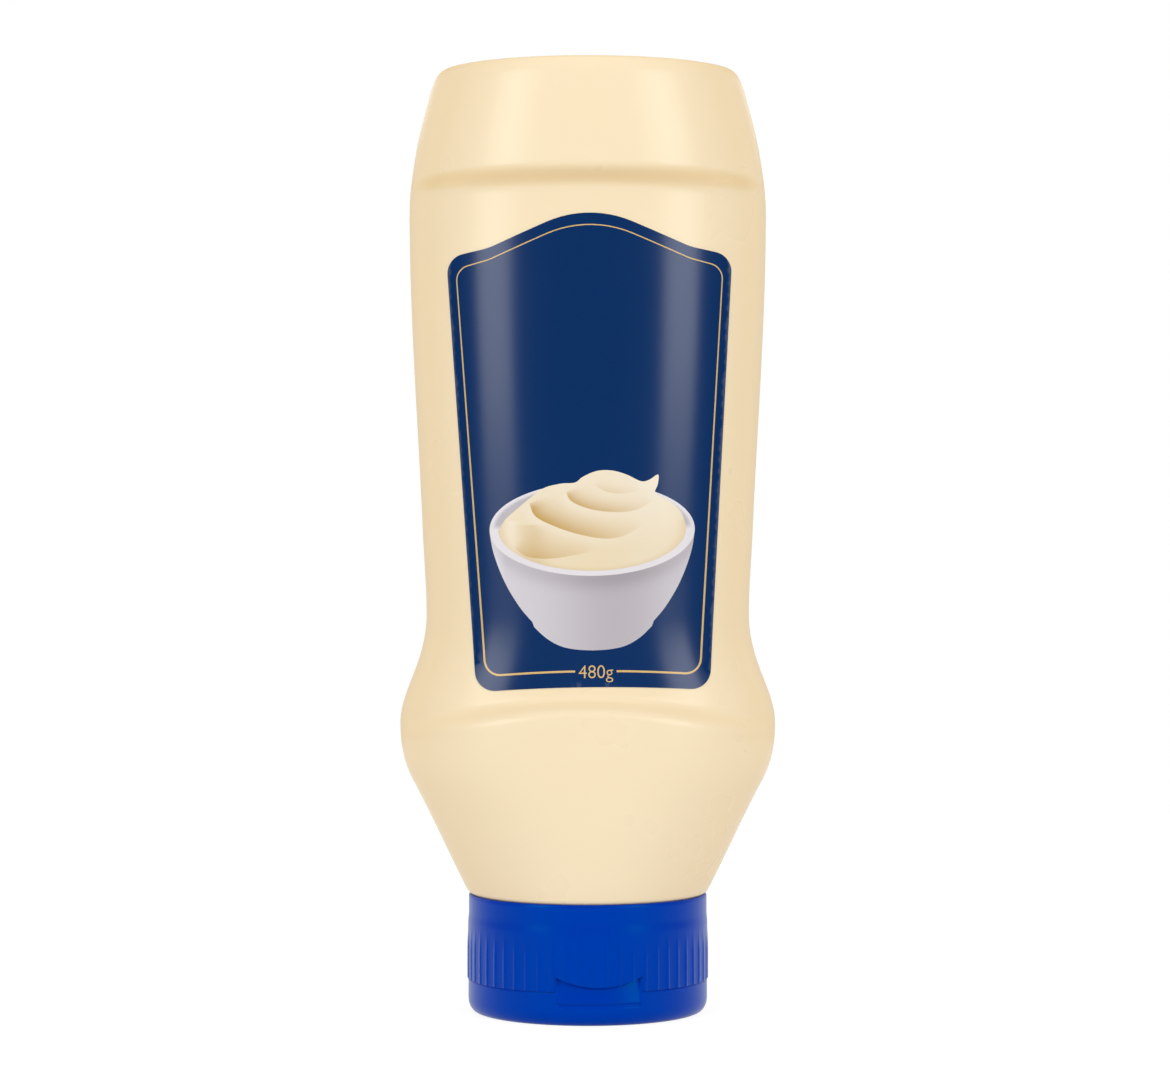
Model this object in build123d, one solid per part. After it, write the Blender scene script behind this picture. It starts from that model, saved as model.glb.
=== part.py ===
"""Squeeze bottle of mayonnaise, standing on its closed flip-top cap.

Frame: origin at the middle of the lid's flat base, +Z up, the front label
faces -Y.  All sizes are in millimetres.
"""
from build123d import *
import math
import os

# ---------------------------------------------------------------- cap sizes
cap_height = 25.8          # from the stand to the bottle's shoulder
cap_radius = 26.1          # plain collar above the ribs
cap_top_round = 0.5        # rounding of the collar's upper edge
lid_overhang = 0.1         # how far the lid stands out past the collar
lid_height = 7.2           # parting line between lid and ribbed skirt
lid_edge_inset = 2.0       # rounding of the lid's standing edge, sideways
lid_edge_height = 3.0      # the same rounding, upwards
lid_top_chamfer = 0.25     # break of the lid's edge at the parting line
rib_count = 56
rib_height = 0.4           # how far a rib stands out of the skirt
rib_width = 0.9
rib_full_top = 14.0        # ribs stand full up to here
rib_fade_top = 20.0        # and have run out here
rib_root_depth = 1.0       # how far a rib's blade reaches into the skirt
yaw = 5.4                  # turn of the cap's front about the axis, degrees

# The lid's thumb tab reaches up into a notch in the skirt.
tab_width = 18.6
tab_horn_top = 10.4        # top of the tab at its two ends
tab_dip_top = 8.2          # top of the tab in the middle
tab_top_inset = 0.8        # how far the lip has leaned in at the horns' height
tab_lip_z = 5.0            # lower edge of the lip that the thumb lifts
tab_lip_inset = 0.05       # how far that edge lies inside the lid's wall
tab_recess_z = 4.5         # deepest place of the recess under the lip
tab_recess_depth = 0.35
tab_recess_foot = 3.9      # where the recess runs out on the lid's wall
tab_thickness = 3.2        # radial thickness of the tab
tab_root_height = 1.0      # how far the tab reaches down into the lid
fit_gap = 0.12             # air round the tab and the hinge strip
cut_reach = 2.0            # how far a cutting shape reaches past the surface

# Plain living hinge at the back, in a pocket across the parting line.
hinge_width = 12.0
hinge_rise = 2.4           # reach above and below the parting line
hinge_thickness = 1.0

# ------------------------------------------------------------- bottle sizes
overall_height = 205.7
neck_step = 0.1            # how far the collar stands out past the neck
bulge_width = 82.4
waist_width = 70.6
shoulder_width = 78.1
top_width = 66.6           # side walls produced to the top plane

# Slopes are the sideways gain for each millimetre of height.
neck_slope = 0.522
taper_rise = 24.6          # neck to the end of the straight taper
taper_half_width = 38.2
taper_slope = 0.539
bulge_rise = 37.3          # neck to the widest point of the bulge
flare_rise = 49.5          # neck to the middle of the flare
flare_half_width = 37.6
flare_slope = -0.37
waist_rise = 61.0          # neck to the waist
panel_rise = 79.5          # neck to where the label panel starts to widen
panel_half_width = 36.15
panel_slope = 0.043
shoulder_drop = 30.6       # top to the widest point of the shoulder
dome_drop = 18.3           # top to the middle of the dome
dome_half_width = 37.75
dome_slope = -0.161
top_slope = -0.24

top_depth = 57.6           # front to back, at the top plane
dome_depth = 61.6          # front to back, just above the upper crease
panel_top_depth = 54.4     # front to back, across the two label panels
panel_foot_depth = 50.6
bulge_depth = 59.0
neck_front_slope = 0.16
panel_top_front_slope = 0.02
top_front_slope = -0.13

upper_crease_drop = 25.4   # top to the middle of the upper crease
upper_crease_height = 6.4
upper_crease_droop = 0.8   # how much lower the crease lies at the sides
lower_crease_rise = 42.4   # neck to the middle of the lower crease
lower_crease_height = 5.6
lower_crease_droop = 7.0
top_round_height = 4.0     # rounding of the top edge, upwards
top_round_inset = 1.55     # the same rounding, sideways
push_up_depth = 1.8        # dish in the bottle's own base, now on top
push_up_margin = 7.0       # flat rim left round the dish

# -------------------------------------------------------------- label sizes
label_thickness = 0.2
label_top_half_width = 30.7
label_bottom_half_width = 25.0
label_foot_margin = 2.7    # lower crease to the label's lower corners
label_peak_margin = 7.3    # upper crease to the label's peak
label_arch_rise = 9.1      # peak above the label's upper corners
label_arch_half_width = 21.5
label_arch_radius = 24.0
label_hollow_radius = 14.0
label_shoulder_fall = 1.6  # fall from the arch's foot to the corner
label_top_corner_radius = 4.0
label_bottom_corner_radius = 4.6
label_foot_bow = 1.1       # the bottom edge arches up by this much
label_shift = 0.7          # the label sits a little off the middle
label_lean = 0.5           # and leans by this angle, degrees

# Section spacing of the bottle's skin: fine over a crease and the top edge.
fine_step = 1.0
coarse_step = 6.0
points_round = 24

# ------------------------------------------------------------ derived sizes
lid_radius = cap_radius + lid_overhang
neck_half_width = cap_radius - neck_step
neck_z = cap_height
bulge_z = neck_z + bulge_rise
upper_crease_z = overall_height - upper_crease_drop
lower_crease_z = neck_z + lower_crease_rise

# Each station is a height, a half size and a slope.
side_outline = [
    (neck_z, neck_half_width, neck_slope),
    (neck_z + taper_rise, taper_half_width, taper_slope),
    (bulge_z, bulge_width / 2, 0.0),
    (neck_z + flare_rise, flare_half_width, flare_slope),
    (neck_z + waist_rise, waist_width / 2, 0.0),
    (neck_z + panel_rise, panel_half_width, panel_slope),
    (overall_height - shoulder_drop, shoulder_width / 2, 0.0),
    (overall_height - dome_drop, dome_half_width, dome_slope),
    (overall_height, top_width / 2, top_slope),
]
lower_front = [
    (neck_z, neck_half_width, neck_front_slope),
    (bulge_z, bulge_depth / 2, 0.0),
]
panel_front = [
    (lower_crease_z, panel_foot_depth / 2, 0.0),
    (upper_crease_z, panel_top_depth / 2, panel_top_front_slope),
    (overall_height, panel_top_depth / 2, 0.0),
]
dome_front = [
    (upper_crease_z, dome_depth / 2, 0.0),
    (overall_height, top_depth / 2, top_front_slope),
]


def along(outline, z):
    """Half size at height z on a smooth curve; beyond its ends it stays level."""
    for (z0, s0, k0), (z1, s1, k1) in zip(outline, outline[1:]):
        if z <= z1:
            break
    run = z1 - z0
    t = min(max((z - z0) / run, 0.0), 1.0)
    return (
        s0 * (2 * t**3 - 3 * t**2 + 1)
        + run * k0 * (t**3 - 2 * t**2 + t)
        + s1 * (3 * t**2 - 2 * t**3)
        + run * k1 * (t**3 - t**2)
    )


def step(z, middle, height):
    """Smooth step from 0 below to 1 above, as wide as height."""
    t = min(max((z - middle) / height + 0.5, 0.0), 1.0)
    return t**3 * (t * (6 * t - 15) + 10)


def top_round(z):
    """How far the rounded top edge has drawn in at height z."""
    t = max((z - overall_height) / top_round_height + 1.0, 0.0)
    return top_round_inset * (1 - math.sqrt(max(1 - t * t, 0.0)))


def half_depth(z, sideways):
    """Half depth at height z; sideways is 0 at the front and 1 at the side."""
    low = step(z + lower_crease_droop * sideways, lower_crease_z, lower_crease_height)
    high = step(z + upper_crease_droop * sideways, upper_crease_z, upper_crease_height)
    below = along(lower_front, z)
    panel = along(panel_front, z)
    above = along(dome_front, z)
    return below + (panel - below) * low + (above - panel) * high


def skin_point(z, angle, grow):
    """Point at height z, angle in degrees from +X, grown outside the skin."""
    across = math.cos(math.radians(angle))
    deep = math.sin(math.radians(angle))
    drawn_in = top_round(z) - grow
    x = (along(side_outline, z) - drawn_in) * across
    y = (half_depth(z, across * across) - drawn_in) * deep
    return (x, y, z)


def section_heights(bottom, top):
    """Heights of the sections, close together where the skin bends fast."""
    heights = [bottom]
    reach = coarse_step
    low_from = lower_crease_z - lower_crease_droop - lower_crease_height / 2 - reach
    low_to = lower_crease_z + lower_crease_height / 2 + reach
    high_from = upper_crease_z - upper_crease_droop - upper_crease_height / 2 - reach
    high_to = upper_crease_z + upper_crease_height / 2 + reach
    round_from = overall_height - top_round_height
    while heights[-1] < top:
        z = heights[-1]
        in_crease = low_from < z < low_to or high_from < z < high_to
        near_round = z > round_from - fine_step
        stride = fine_step if in_crease or near_round else coarse_step
        heights.append(z + stride)
    heights[-1] = top
    if heights[-1] - heights[-2] < fine_step / 2:
        heights.pop(-2)
    return heights


def skin_solid(bottom, top, grow):
    """Closed solid inside the skin, or grown past it, between two heights."""
    wires = []
    for z in section_heights(neck_z, overall_height):
        if bottom <= z <= top:
            turns = [90 + 360 * i / points_round for i in range(points_round)]
            ring = [skin_point(z, turn, grow) for turn in turns]
            wires.append(Wire([Edge.make_spline(ring, periodic=True)]))
    return Solid.make_loft(wires)


def front_block(width, depth, bottom, top, radius):
    """Block at the cap's front, depth deep behind a cylinder of that radius."""
    block = Box(width, depth + radius, top - bottom, align=(Align.CENTER, Align.MAX, Align.MIN))
    block = Pos(0, depth - radius, bottom) * block
    return Rot(0, 0, yaw) * block


def ring_between(inner, outer, bottom, top):
    """Ring about the axis between two radii and two heights."""
    whole = Cylinder(outer, top - bottom, align=(Align.CENTER, Align.CENTER, Align.MIN))
    core = Cylinder(inner, top - bottom, align=(Align.CENTER, Align.CENTER, Align.MIN))
    return Pos(0, 0, bottom) * (whole - core)


# ------------------------------------------------------------------- bottle
def make_bottle():
    """The filled, shut bottle: one solid with a dished base on top."""
    skin = skin_solid(neck_z, overall_height, 0)
    inset = top_round_inset + push_up_margin
    across = top_width / 2 - inset
    deep = top_depth / 2 - inset
    rim = Pos(0, 0, overall_height) * Ellipse(across, deep)
    floor = Pos(0, 0, overall_height - push_up_depth) * Ellipse(
        across - 2 * push_up_depth, deep - 2 * push_up_depth
    )
    return skin - loft([floor, rim])


# ------------------------------------------------------------------- labels
label_peak_z = upper_crease_z - label_peak_margin
label_corner_z = label_peak_z - label_arch_rise
label_foot_z = lower_crease_z + label_foot_margin


def label_outline():
    """Flat outline of the label, arched on top, seen from the front."""
    arch_angle = math.atan2(
        label_arch_rise - label_shoulder_fall, label_arch_half_width
    )
    rounding = label_arch_radius * (1 / math.cos(arch_angle) - 1)
    arch_slope = math.tan(arch_angle)
    hollow_z = label_corner_z + label_shoulder_fall
    crown_z = hollow_z + label_arch_half_width * arch_slope + rounding
    bow = (0, label_foot_z + label_foot_bow)
    foot = [(-label_bottom_half_width, label_foot_z), bow, (label_bottom_half_width, label_foot_z)]
    sides = [
        (label_bottom_half_width, label_foot_z),
        (label_top_half_width, label_corner_z),
        (label_arch_half_width, hollow_z),
        (0, crown_z),
        (-label_arch_half_width, hollow_z),
        (-label_top_half_width, label_corner_z),
        (-label_bottom_half_width, label_foot_z),
    ]
    face = make_face([ThreePointArc(*foot), Polyline(*sides)])
    corners = [(sides[3], label_arch_radius)]
    corners += [(sides[i], label_hollow_radius) for i in (2, 4)]
    corners += [(sides[i], label_top_corner_radius) for i in (1, 5)]
    corners += [(sides[i], label_bottom_corner_radius) for i in (0, 6)]
    for (x, y), radius in corners:
        near = face.vertices().sort_by_distance((x, y, 0))[0]
        face = fillet(near, radius)
    return face


def make_label(bottle, turn):
    """Film label lying on the skin, facing -Y and then turned about the axis."""
    middle = (label_peak_z + label_foot_z) / 2
    facing = Plane(origin=(label_shift, 0, middle), x_dir=(1, 0, 0), z_dir=(0, -1, 0))
    outline = facing * Rot(0, 0, label_lean) * Pos(0, -middle) * label_outline()
    column = Rot(0, 0, turn) * extrude(outline, overall_height / 2)
    margin = coarse_step
    over = skin_solid(label_foot_z - margin, label_peak_z + margin, label_thickness)
    return (over & column) - bottle


# ---------------------------------------------------------------------- cap
def make_rib(angle):
    """One upright rib of the skirt, running out at its top."""
    root = cap_radius - rib_root_depth
    crest = cap_radius + rib_height
    side = [
        (root, lid_height),
        (crest, lid_height),
        (crest, rib_full_top),
        (cap_radius, rib_fade_top),
        (root, rib_fade_top),
    ]
    blade = make_face(Plane.XZ * Polyline(*side, side[0]))
    return Rot(0, 0, angle) * extrude(blade, rib_width / 2, both=True)


def smile(growth):
    """Cylinder whose lower side is the dipped top edge of the thumb tab."""
    dip = tab_horn_top - tab_dip_top
    radius = ((tab_width / 2) ** 2 + dip**2) / (2 * dip)
    axis_z = tab_dip_top + radius
    reach = lid_radius + cut_reach
    bar = Cylinder(radius + growth, reach, rotation=(90, 0, 0))
    return Rot(0, 0, yaw) * Pos(0, -reach / 2, axis_z) * bar


def make_hinge_strip():
    """Plain living hinge at the back, across the parting line."""
    shell = ring_between(
        lid_radius - hinge_thickness, lid_radius, lid_height - hinge_rise, lid_height + hinge_rise
    )
    window = Box(hinge_width, lid_radius, 4 * hinge_rise)
    return shell & Rot(0, 0, yaw) * Pos(0, lid_radius, lid_height) * window


def hinge_pocket():
    """Room for the hinge strip in the skirt and the lid."""
    reach = hinge_rise + fit_gap
    shell = ring_between(
        lid_radius - hinge_thickness, lid_radius + cut_reach, lid_height - reach, lid_height + reach
    )
    window = Box(hinge_width + 2 * fit_gap, 2 * lid_radius, 4 * reach)
    return shell & Rot(0, 0, yaw) * Pos(0, lid_radius, lid_height) * window


def make_cap_body():
    """Ribbed closure between the lid and the bottle, notched for the tab."""
    body = Pos(0, 0, lid_height) * Cylinder(
        cap_radius, cap_height - lid_height, align=(Align.CENTER, Align.CENTER, Align.MIN)
    )
    body = chamfer(body.edges().sort_by(Axis.Z)[-1], cap_top_round)
    ribs = [make_rib(yaw - 90 + 360 * (i + 0.5) / rib_count) for i in range(rib_count)]
    body = body + ribs
    notch = front_block(
        tab_width + 2 * fit_gap, tab_thickness + fit_gap, lid_height, tab_horn_top + fit_gap, cap_radius
    )
    notch = notch - smile(-fit_gap)
    return body - notch - hinge_pocket()


def make_flip_lid():
    """Shut lid with its rounded standing edge, thumb tab and recess."""
    flat = lid_radius - lid_edge_inset
    base = [
        Polyline((0, lid_edge_height), (0, 0), (flat, 0)),
        EllipticalCenterArc(
            (flat, lid_edge_height), lid_edge_inset, lid_edge_height, start_angle=270, arc_size=90
        ),
        Line((lid_radius, lid_edge_height), (0, lid_edge_height)),
    ]
    profile = Plane.XZ * make_face(base)
    wall = Pos(0, 0, lid_edge_height) * Cylinder(
        lid_radius, lid_height - lid_edge_height, align=(Align.CENTER, Align.CENTER, Align.MIN)
    )
    wall = chamfer(wall.edges().sort_by(Axis.Z)[-1], lid_top_chamfer)
    lid = revolve(profile, Axis.Z) + wall
    tab_root = lid_height - tab_root_height
    tab = front_block(tab_width, tab_thickness, tab_root, tab_horn_top, lid_radius)
    tab = tab & Cylinder(lid_radius, 2 * tab_horn_top)
    lid = lid + (tab - smile(0))
    cut = [
        (lid_radius, tab_recess_foot),
        (lid_radius - tab_recess_depth, tab_recess_z),
        (lid_radius - tab_lip_inset, tab_lip_z),
        (lid_radius - tab_top_inset, tab_horn_top),
        (lid_radius + cut_reach, tab_horn_top),
        (lid_radius + cut_reach, tab_recess_foot),
    ]
    cut_face = make_face(Plane.XZ * Polyline(*cut, cut[0]))
    window = front_block(tab_width, lid_radius / 2, 0, tab_horn_top, lid_radius)
    return lid - (revolve(cut_face, Axis.Z) & window) - hinge_pocket()


# -------------------------------------------------------------------- model
def build():
    """Every node of the model by name."""
    bottle = make_bottle()
    return {
        "bottle": bottle,
        "front_label": make_label(bottle, 0),
        "back_label": make_label(bottle, 180),
        "cap_body": make_cap_body(),
        "flip_lid": make_flip_lid(),
        "hinge_strip": make_hinge_strip(),
    }


os.makedirs("parts", exist_ok=True)
for name, shape in build().items():
    export_step(shape, f"parts/{name}.step")
    print(name, len(shape.solids()), "solid", round(shape.volume), "mm3")
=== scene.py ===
"""Studio scene of a shut squeeze bottle of mayonnaise standing on its flip-top cap.

Every class below holds the sizes of one sub-assembly in millimetres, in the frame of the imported
model: +Z up, the front label faces -Y.  Meshes are written in metres.
"""
import logging
import math
from collections.abc import Callable, Iterable, Sequence
from dataclasses import dataclass, field
from enum import Enum

import bmesh
import bpy
import numpy as np
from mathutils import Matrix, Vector
from mathutils.geometry import delaunay_2d_cdt


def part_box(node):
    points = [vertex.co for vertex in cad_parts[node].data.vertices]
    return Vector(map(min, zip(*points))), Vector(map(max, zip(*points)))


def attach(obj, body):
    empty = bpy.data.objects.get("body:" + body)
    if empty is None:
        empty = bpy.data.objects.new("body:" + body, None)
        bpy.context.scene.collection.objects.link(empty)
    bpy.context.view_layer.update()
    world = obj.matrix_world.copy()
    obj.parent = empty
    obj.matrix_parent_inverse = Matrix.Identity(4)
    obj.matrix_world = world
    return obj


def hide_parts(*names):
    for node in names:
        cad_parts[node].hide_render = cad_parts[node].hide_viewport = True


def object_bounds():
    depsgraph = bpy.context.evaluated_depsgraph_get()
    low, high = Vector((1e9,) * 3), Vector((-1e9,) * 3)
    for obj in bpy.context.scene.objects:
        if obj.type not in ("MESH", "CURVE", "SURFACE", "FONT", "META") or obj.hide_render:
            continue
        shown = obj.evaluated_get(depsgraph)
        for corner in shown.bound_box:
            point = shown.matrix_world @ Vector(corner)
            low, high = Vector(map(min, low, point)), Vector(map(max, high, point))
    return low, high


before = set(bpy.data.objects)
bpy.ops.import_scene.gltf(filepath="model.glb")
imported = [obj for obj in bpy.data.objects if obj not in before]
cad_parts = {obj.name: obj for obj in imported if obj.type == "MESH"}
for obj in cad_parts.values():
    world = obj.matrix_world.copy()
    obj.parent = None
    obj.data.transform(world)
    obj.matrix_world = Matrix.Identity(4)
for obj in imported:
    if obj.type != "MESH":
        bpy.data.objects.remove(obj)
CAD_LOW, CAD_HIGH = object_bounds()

LOG = logging.getLogger("squeeze_bottle")
MM = 0.001
BODY = "root"
MERGE_REACH = 1e-6  # points closer than this many metres become one
LABEL_FOOT_MARGIN = 2.7  # lower crease to the label's lower corners
LABEL_PEAK_MARGIN = 7.3  # upper crease to the label's peak
WEIGHT_GAP = (-3.8, 5.0)  # where the front label's border line is open
WEIGHT_DROP = 1.5  # foot of the weight's text below the border line's middle
# Spacing inside a filled outline, against the step between its points.
ROW_SHARE = 0.87  # between two rows
EDGE_SHARE = 0.45  # from a row's ends to the outline
CREASE_SHARE = 0.4  # from a row's points to a crease

Point2 = tuple[float, float]
Colour = tuple[float, float, float]
Station = tuple[float, float, float]
WHITE: Colour = (1.0, 1.0, 1.0)


class Side(Enum):
    """Which way a label faces, as a turn about the upright axis in degrees."""

    FRONT = 0.0
    BACK = 180.0


# ------------------------------------------------------------------ helpers
def screen(red: int, green: int, blue: int) -> Colour:
    """Turn an 8-bit screen colour into the linear values that shaders take.

    Args:
        red: Red from 0 to 255.
        green: Green from 0 to 255.
        blue: Blue from 0 to 255.

    Returns:
        The linear colour.
    """

    def linear(value: int) -> float:
        """Undo the screen's gamma for one channel."""
        part = value / 255
        return part / 12.92 if part <= 0.04045 else ((part + 0.055) / 1.055) ** 2.4

    return (linear(red), linear(green), linear(blue))


def smooth_step(value: float, middle: float, width: float) -> float:
    """Rise smoothly from 0 to 1.

    Args:
        value: Where to read.
        middle: Where the step is half way up.
        width: How wide the step is.

    Returns:
        A share from 0 to 1.
    """
    t = min(max((value - middle) / width + 0.5, 0.0), 1.0)
    return t**3 * (t * (6 * t - 15) + 10)


def along(outline: Sequence[Station], z: float) -> float:
    """Read a smooth curve through stations.

    Args:
        outline: Stations of height, size and slope, from low to high.
        z: Height to read at.

    Returns:
        The size at that height.
    """
    for (z0, s0, k0), (z1, s1, k1) in zip(outline, outline[1:]):
        if z <= z1:
            break
    run = z1 - z0
    t = min(max((z - z0) / run, 0.0), 1.0)
    start = s0 * (2 * t**3 - 3 * t**2 + 1) + run * k0 * (t**3 - 2 * t**2 + t)
    return start + s1 * (3 * t**2 - 2 * t**3) + run * k1 * (t**3 - t**2)


def spread(start: float, end: float, count: int) -> list[float]:
    """Space values evenly.

    Args:
        start: First value.
        end: Last value.
        count: How many values there are.

    Returns:
        The values from start to end.
    """
    return [start + (end - start) * i / (count - 1) for i in range(count)]


def new_piece(
    name: str,
    points: Iterable[Vector],
    faces: Iterable[Sequence[int]],
    finish: "Finish",
    replaces: Sequence[str] = (),
    sharp: float = 180.0,
) -> bpy.types.Object:
    """Make a mesh piece, dress it and let it ride on the bottle.

    Args:
        name: Piece name.
        points: Vertices in metres.
        faces: Vertex numbers of each face.
        finish: Material that the piece takes.
        replaces: CAD nodes that the piece stands for.
        sharp: Edges that bend by more than this many degrees stay crisp.

    Returns:
        The new object.
    """
    mesh = bpy.data.meshes.new(name)
    mesh.from_pydata([tuple(p) for p in points], [], [tuple(f) for f in faces])
    work = bmesh.new()
    work.from_mesh(mesh)
    bmesh.ops.remove_doubles(work, verts=work.verts, dist=MERGE_REACH)
    bmesh.ops.dissolve_degenerate(work, edges=work.edges, dist=MERGE_REACH / 10)
    bmesh.ops.recalc_face_normals(work, faces=work.faces)
    work.to_mesh(mesh)
    work.free()
    mesh.shade_smooth()
    if sharp < 180:
        mesh.set_sharp_from_angle(angle=math.radians(sharp))
    mesh.materials.append(finish.material())
    piece = bpy.data.objects.new(name, mesh)
    bpy.context.scene.collection.objects.link(piece)
    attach(piece, BODY)
    if replaces:
        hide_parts(*replaces)
    LOG.info("%s: %d faces", name, len(mesh.polygons))
    return piece


def closed_columns(columns: Sequence[Sequence[Vector]]) -> tuple[list[Vector], list[list[int]]]:
    """Join columns of points, each from pole to pole, into a closed round mesh.

    Args:
        columns: Columns with the same number of points, in order round the axis.

    Returns:
        Points and faces.
    """
    tall = len(columns[0])
    points = [point for column in columns for point in column]
    faces = []
    for i in range(len(columns)):
        j = (i + 1) % len(columns)
        for k in range(tall - 1):
            faces.append([i * tall + k, j * tall + k, j * tall + k + 1, i * tall + k + 1])
    return points, faces


def polar(radius: float, angle: float, z: float) -> Vector:
    """Place a point round the axis.

    Args:
        radius: Distance from the axis in millimetres.
        angle: Angle from +X in degrees.
        z: Height in millimetres.

    Returns:
        The point in metres.
    """
    turn = math.radians(angle)
    return Vector((radius * math.cos(turn), radius * math.sin(turn), z)) * MM


# ------------------------------------------------------------ shader groups
class NodeDesk:
    """Small helper that places and links nodes in one tree."""

    def __init__(self, tree: bpy.types.NodeTree) -> None:
        """Start on an empty tree.

        Args:
            tree: Node tree to fill.
        """
        self.tree = tree
        tree.nodes.clear()

    def add(self, kind: str, settings: dict | None = None, **inputs: object) -> bpy.types.Node:
        """Add a node.

        Args:
            kind: Node type.
            settings: Properties of the node itself.
            inputs: Input sockets by name, with _ for a space, as a value or a socket to link.

        Returns:
            The new node.
        """
        node = self.tree.nodes.new(kind)
        for key, value in (settings or {}).items():
            setattr(node, key, value)
        for key, value in inputs.items():
            self.feed(node.inputs[key.replace("_", " ")], value)
        return node

    def feed(self, socket: bpy.types.NodeSocket, value: object) -> None:
        """Link a socket to a socket, or set its value.

        Args:
            socket: Input socket to feed.
            value: Output socket to link, or a plain value.
        """
        if isinstance(value, bpy.types.NodeSocket):
            self.tree.links.new(value, socket)
        elif isinstance(value, tuple) and len(value) == 3 and socket.type == "RGBA":
            socket.default_value = (*value, 1.0)
        else:
            socket.default_value = value

    def math(self, operation: str, first: object, second: object = 0.0) -> bpy.types.NodeSocket:
        """Add a math node.

        Args:
            operation: What the node does.
            first: First value or socket.
            second: Second value or socket.

        Returns:
            The node's result socket.
        """
        node = self.add("ShaderNodeMath", {"operation": operation})
        self.feed(node.inputs[0], first)
        self.feed(node.inputs[1], second)
        return node.outputs[0]


def shader_group(name: str, inputs: dict[str, float], outputs: Sequence[str]) -> tuple:
    """Start a shader node group whose sockets all carry single values.

    Args:
        name: Name of the group.
        inputs: Default value of each input.
        outputs: Names of the outputs.

    Returns:
        The tree, its desk, its input node and its output node.
    """
    tree = bpy.data.node_groups.new(name, "ShaderNodeTree")
    desk = NodeDesk(tree)
    for key, default in inputs.items():
        socket = tree.interface.new_socket(key, in_out="INPUT", socket_type="NodeSocketFloat")
        socket.default_value = default
    for key in outputs:
        tree.interface.new_socket(key, in_out="OUTPUT", socket_type="NodeSocketFloat")
    return tree, desk, tree.nodes.new("NodeGroupInput"), tree.nodes.new("NodeGroupOutput")


class SharedEffects:
    """Node groups that several finishes use, each built once."""

    CLOUD_SCALE = 40.0  # scale of the flow marks in moulded plastic
    GRAIN_SCALE = 900.0  # scale of its grain
    WAVE_SHARE = 0.7  # share of the flow marks in its relief, the rest is grain
    DOT_SCALE = 2500.0  # scale of the ink's speckle
    SMEAR_SCALE = 60.0  # scale of the ink's uneven gloss

    _made: dict[str, bpy.types.NodeTree] = {}

    @classmethod
    def moulded_skin(cls) -> bpy.types.NodeTree:
        """Give faint flow marks, uneven gloss and the fine relief of moulded plastic.

        Returns:
            A group with Cloud, Roughness and Height outputs.
        """
        if "moulded_skin" not in cls._made:
            floats = {"Gloss Low": 0.3, "Gloss High": 0.4}
            tree, desk, given, put = shader_group("moulded_skin", floats, ("Cloud", "Roughness", "Height"))
            place = desk.add("ShaderNodeTexCoord").outputs["Object"]
            clouds = desk.add("ShaderNodeTexNoise", Vector=place, Scale=cls.CLOUD_SCALE, Detail=3.0)
            grain = desk.add("ShaderNodeTexNoise", Vector=place, Scale=cls.GRAIN_SCALE, Detail=2.0)
            cloud = clouds.outputs["Fac"]
            waves = desk.math("MULTIPLY", cloud, cls.WAVE_SHARE)
            grains = desk.math("MULTIPLY", grain.outputs["Fac"], 1.0 - cls.WAVE_SHARE)
            desk.feed(put.inputs["Cloud"], cloud)
            desk.feed(put.inputs["Roughness"], cls.gloss(desk, given, cloud))
            desk.feed(put.inputs["Height"], desk.math("ADD", waves, grains))
            cls._made["moulded_skin"] = tree
        return cls._made["moulded_skin"]

    @classmethod
    def ink_speckle(cls) -> bpy.types.NodeTree:
        """Give the faint unevenness of ink on film.

        Returns:
            A group with Speckle and Roughness outputs.
        """
        if "ink_speckle" not in cls._made:
            floats = {"Gloss Low": 0.25, "Gloss High": 0.32}
            tree, desk, given, put = shader_group("ink_speckle", floats, ("Speckle", "Roughness"))
            place = desk.add("ShaderNodeTexCoord").outputs["Object"]
            dots = desk.add("ShaderNodeTexNoise", Vector=place, Scale=cls.DOT_SCALE, Detail=1.0)
            smear = desk.add("ShaderNodeTexNoise", Vector=place, Scale=cls.SMEAR_SCALE, Detail=2.0)
            desk.feed(put.inputs["Speckle"], dots.outputs["Fac"])
            desk.feed(put.inputs["Roughness"], cls.gloss(desk, given, smear.outputs["Fac"]))
            cls._made["ink_speckle"] = tree
        return cls._made["ink_speckle"]

    @staticmethod
    def gloss(desk: NodeDesk, given: bpy.types.Node, noise: bpy.types.NodeSocket) -> bpy.types.NodeSocket:
        """Spread noise between a group's lowest and highest roughness.

        Args:
            desk: Desk of the group's tree.
            given: The group's input node.
            noise: Noise from 0 to 1.

        Returns:
            The roughness socket.
        """
        gloss = desk.add("ShaderNodeMapRange", Value=noise)
        desk.feed(gloss.inputs["To Min"], given.outputs["Gloss Low"])
        desk.feed(gloss.inputs["To Max"], given.outputs["Gloss High"])
        return gloss.outputs["Result"]


# ----------------------------------------------------------------- finishes
@dataclass(frozen=True)
class Finish:
    """A finish that builds its own material once.

    Attributes:
        name: Material name.
        slot: Material slot of the record that it belongs to; not used.
    """

    name: str
    slot: str

    def material(self) -> bpy.types.Material:
        """Build the material on first use.

        Returns:
            The material.
        """
        known = bpy.data.materials.get(self.name)
        if known:
            return known
        material = bpy.data.materials.new(self.name)
        material.use_nodes = True
        self.dress(NodeDesk(material.node_tree))
        return material

    def dress(self, desk: NodeDesk) -> None:
        """Fill the material's node tree."""
        raise NotImplementedError(self.name)


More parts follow.
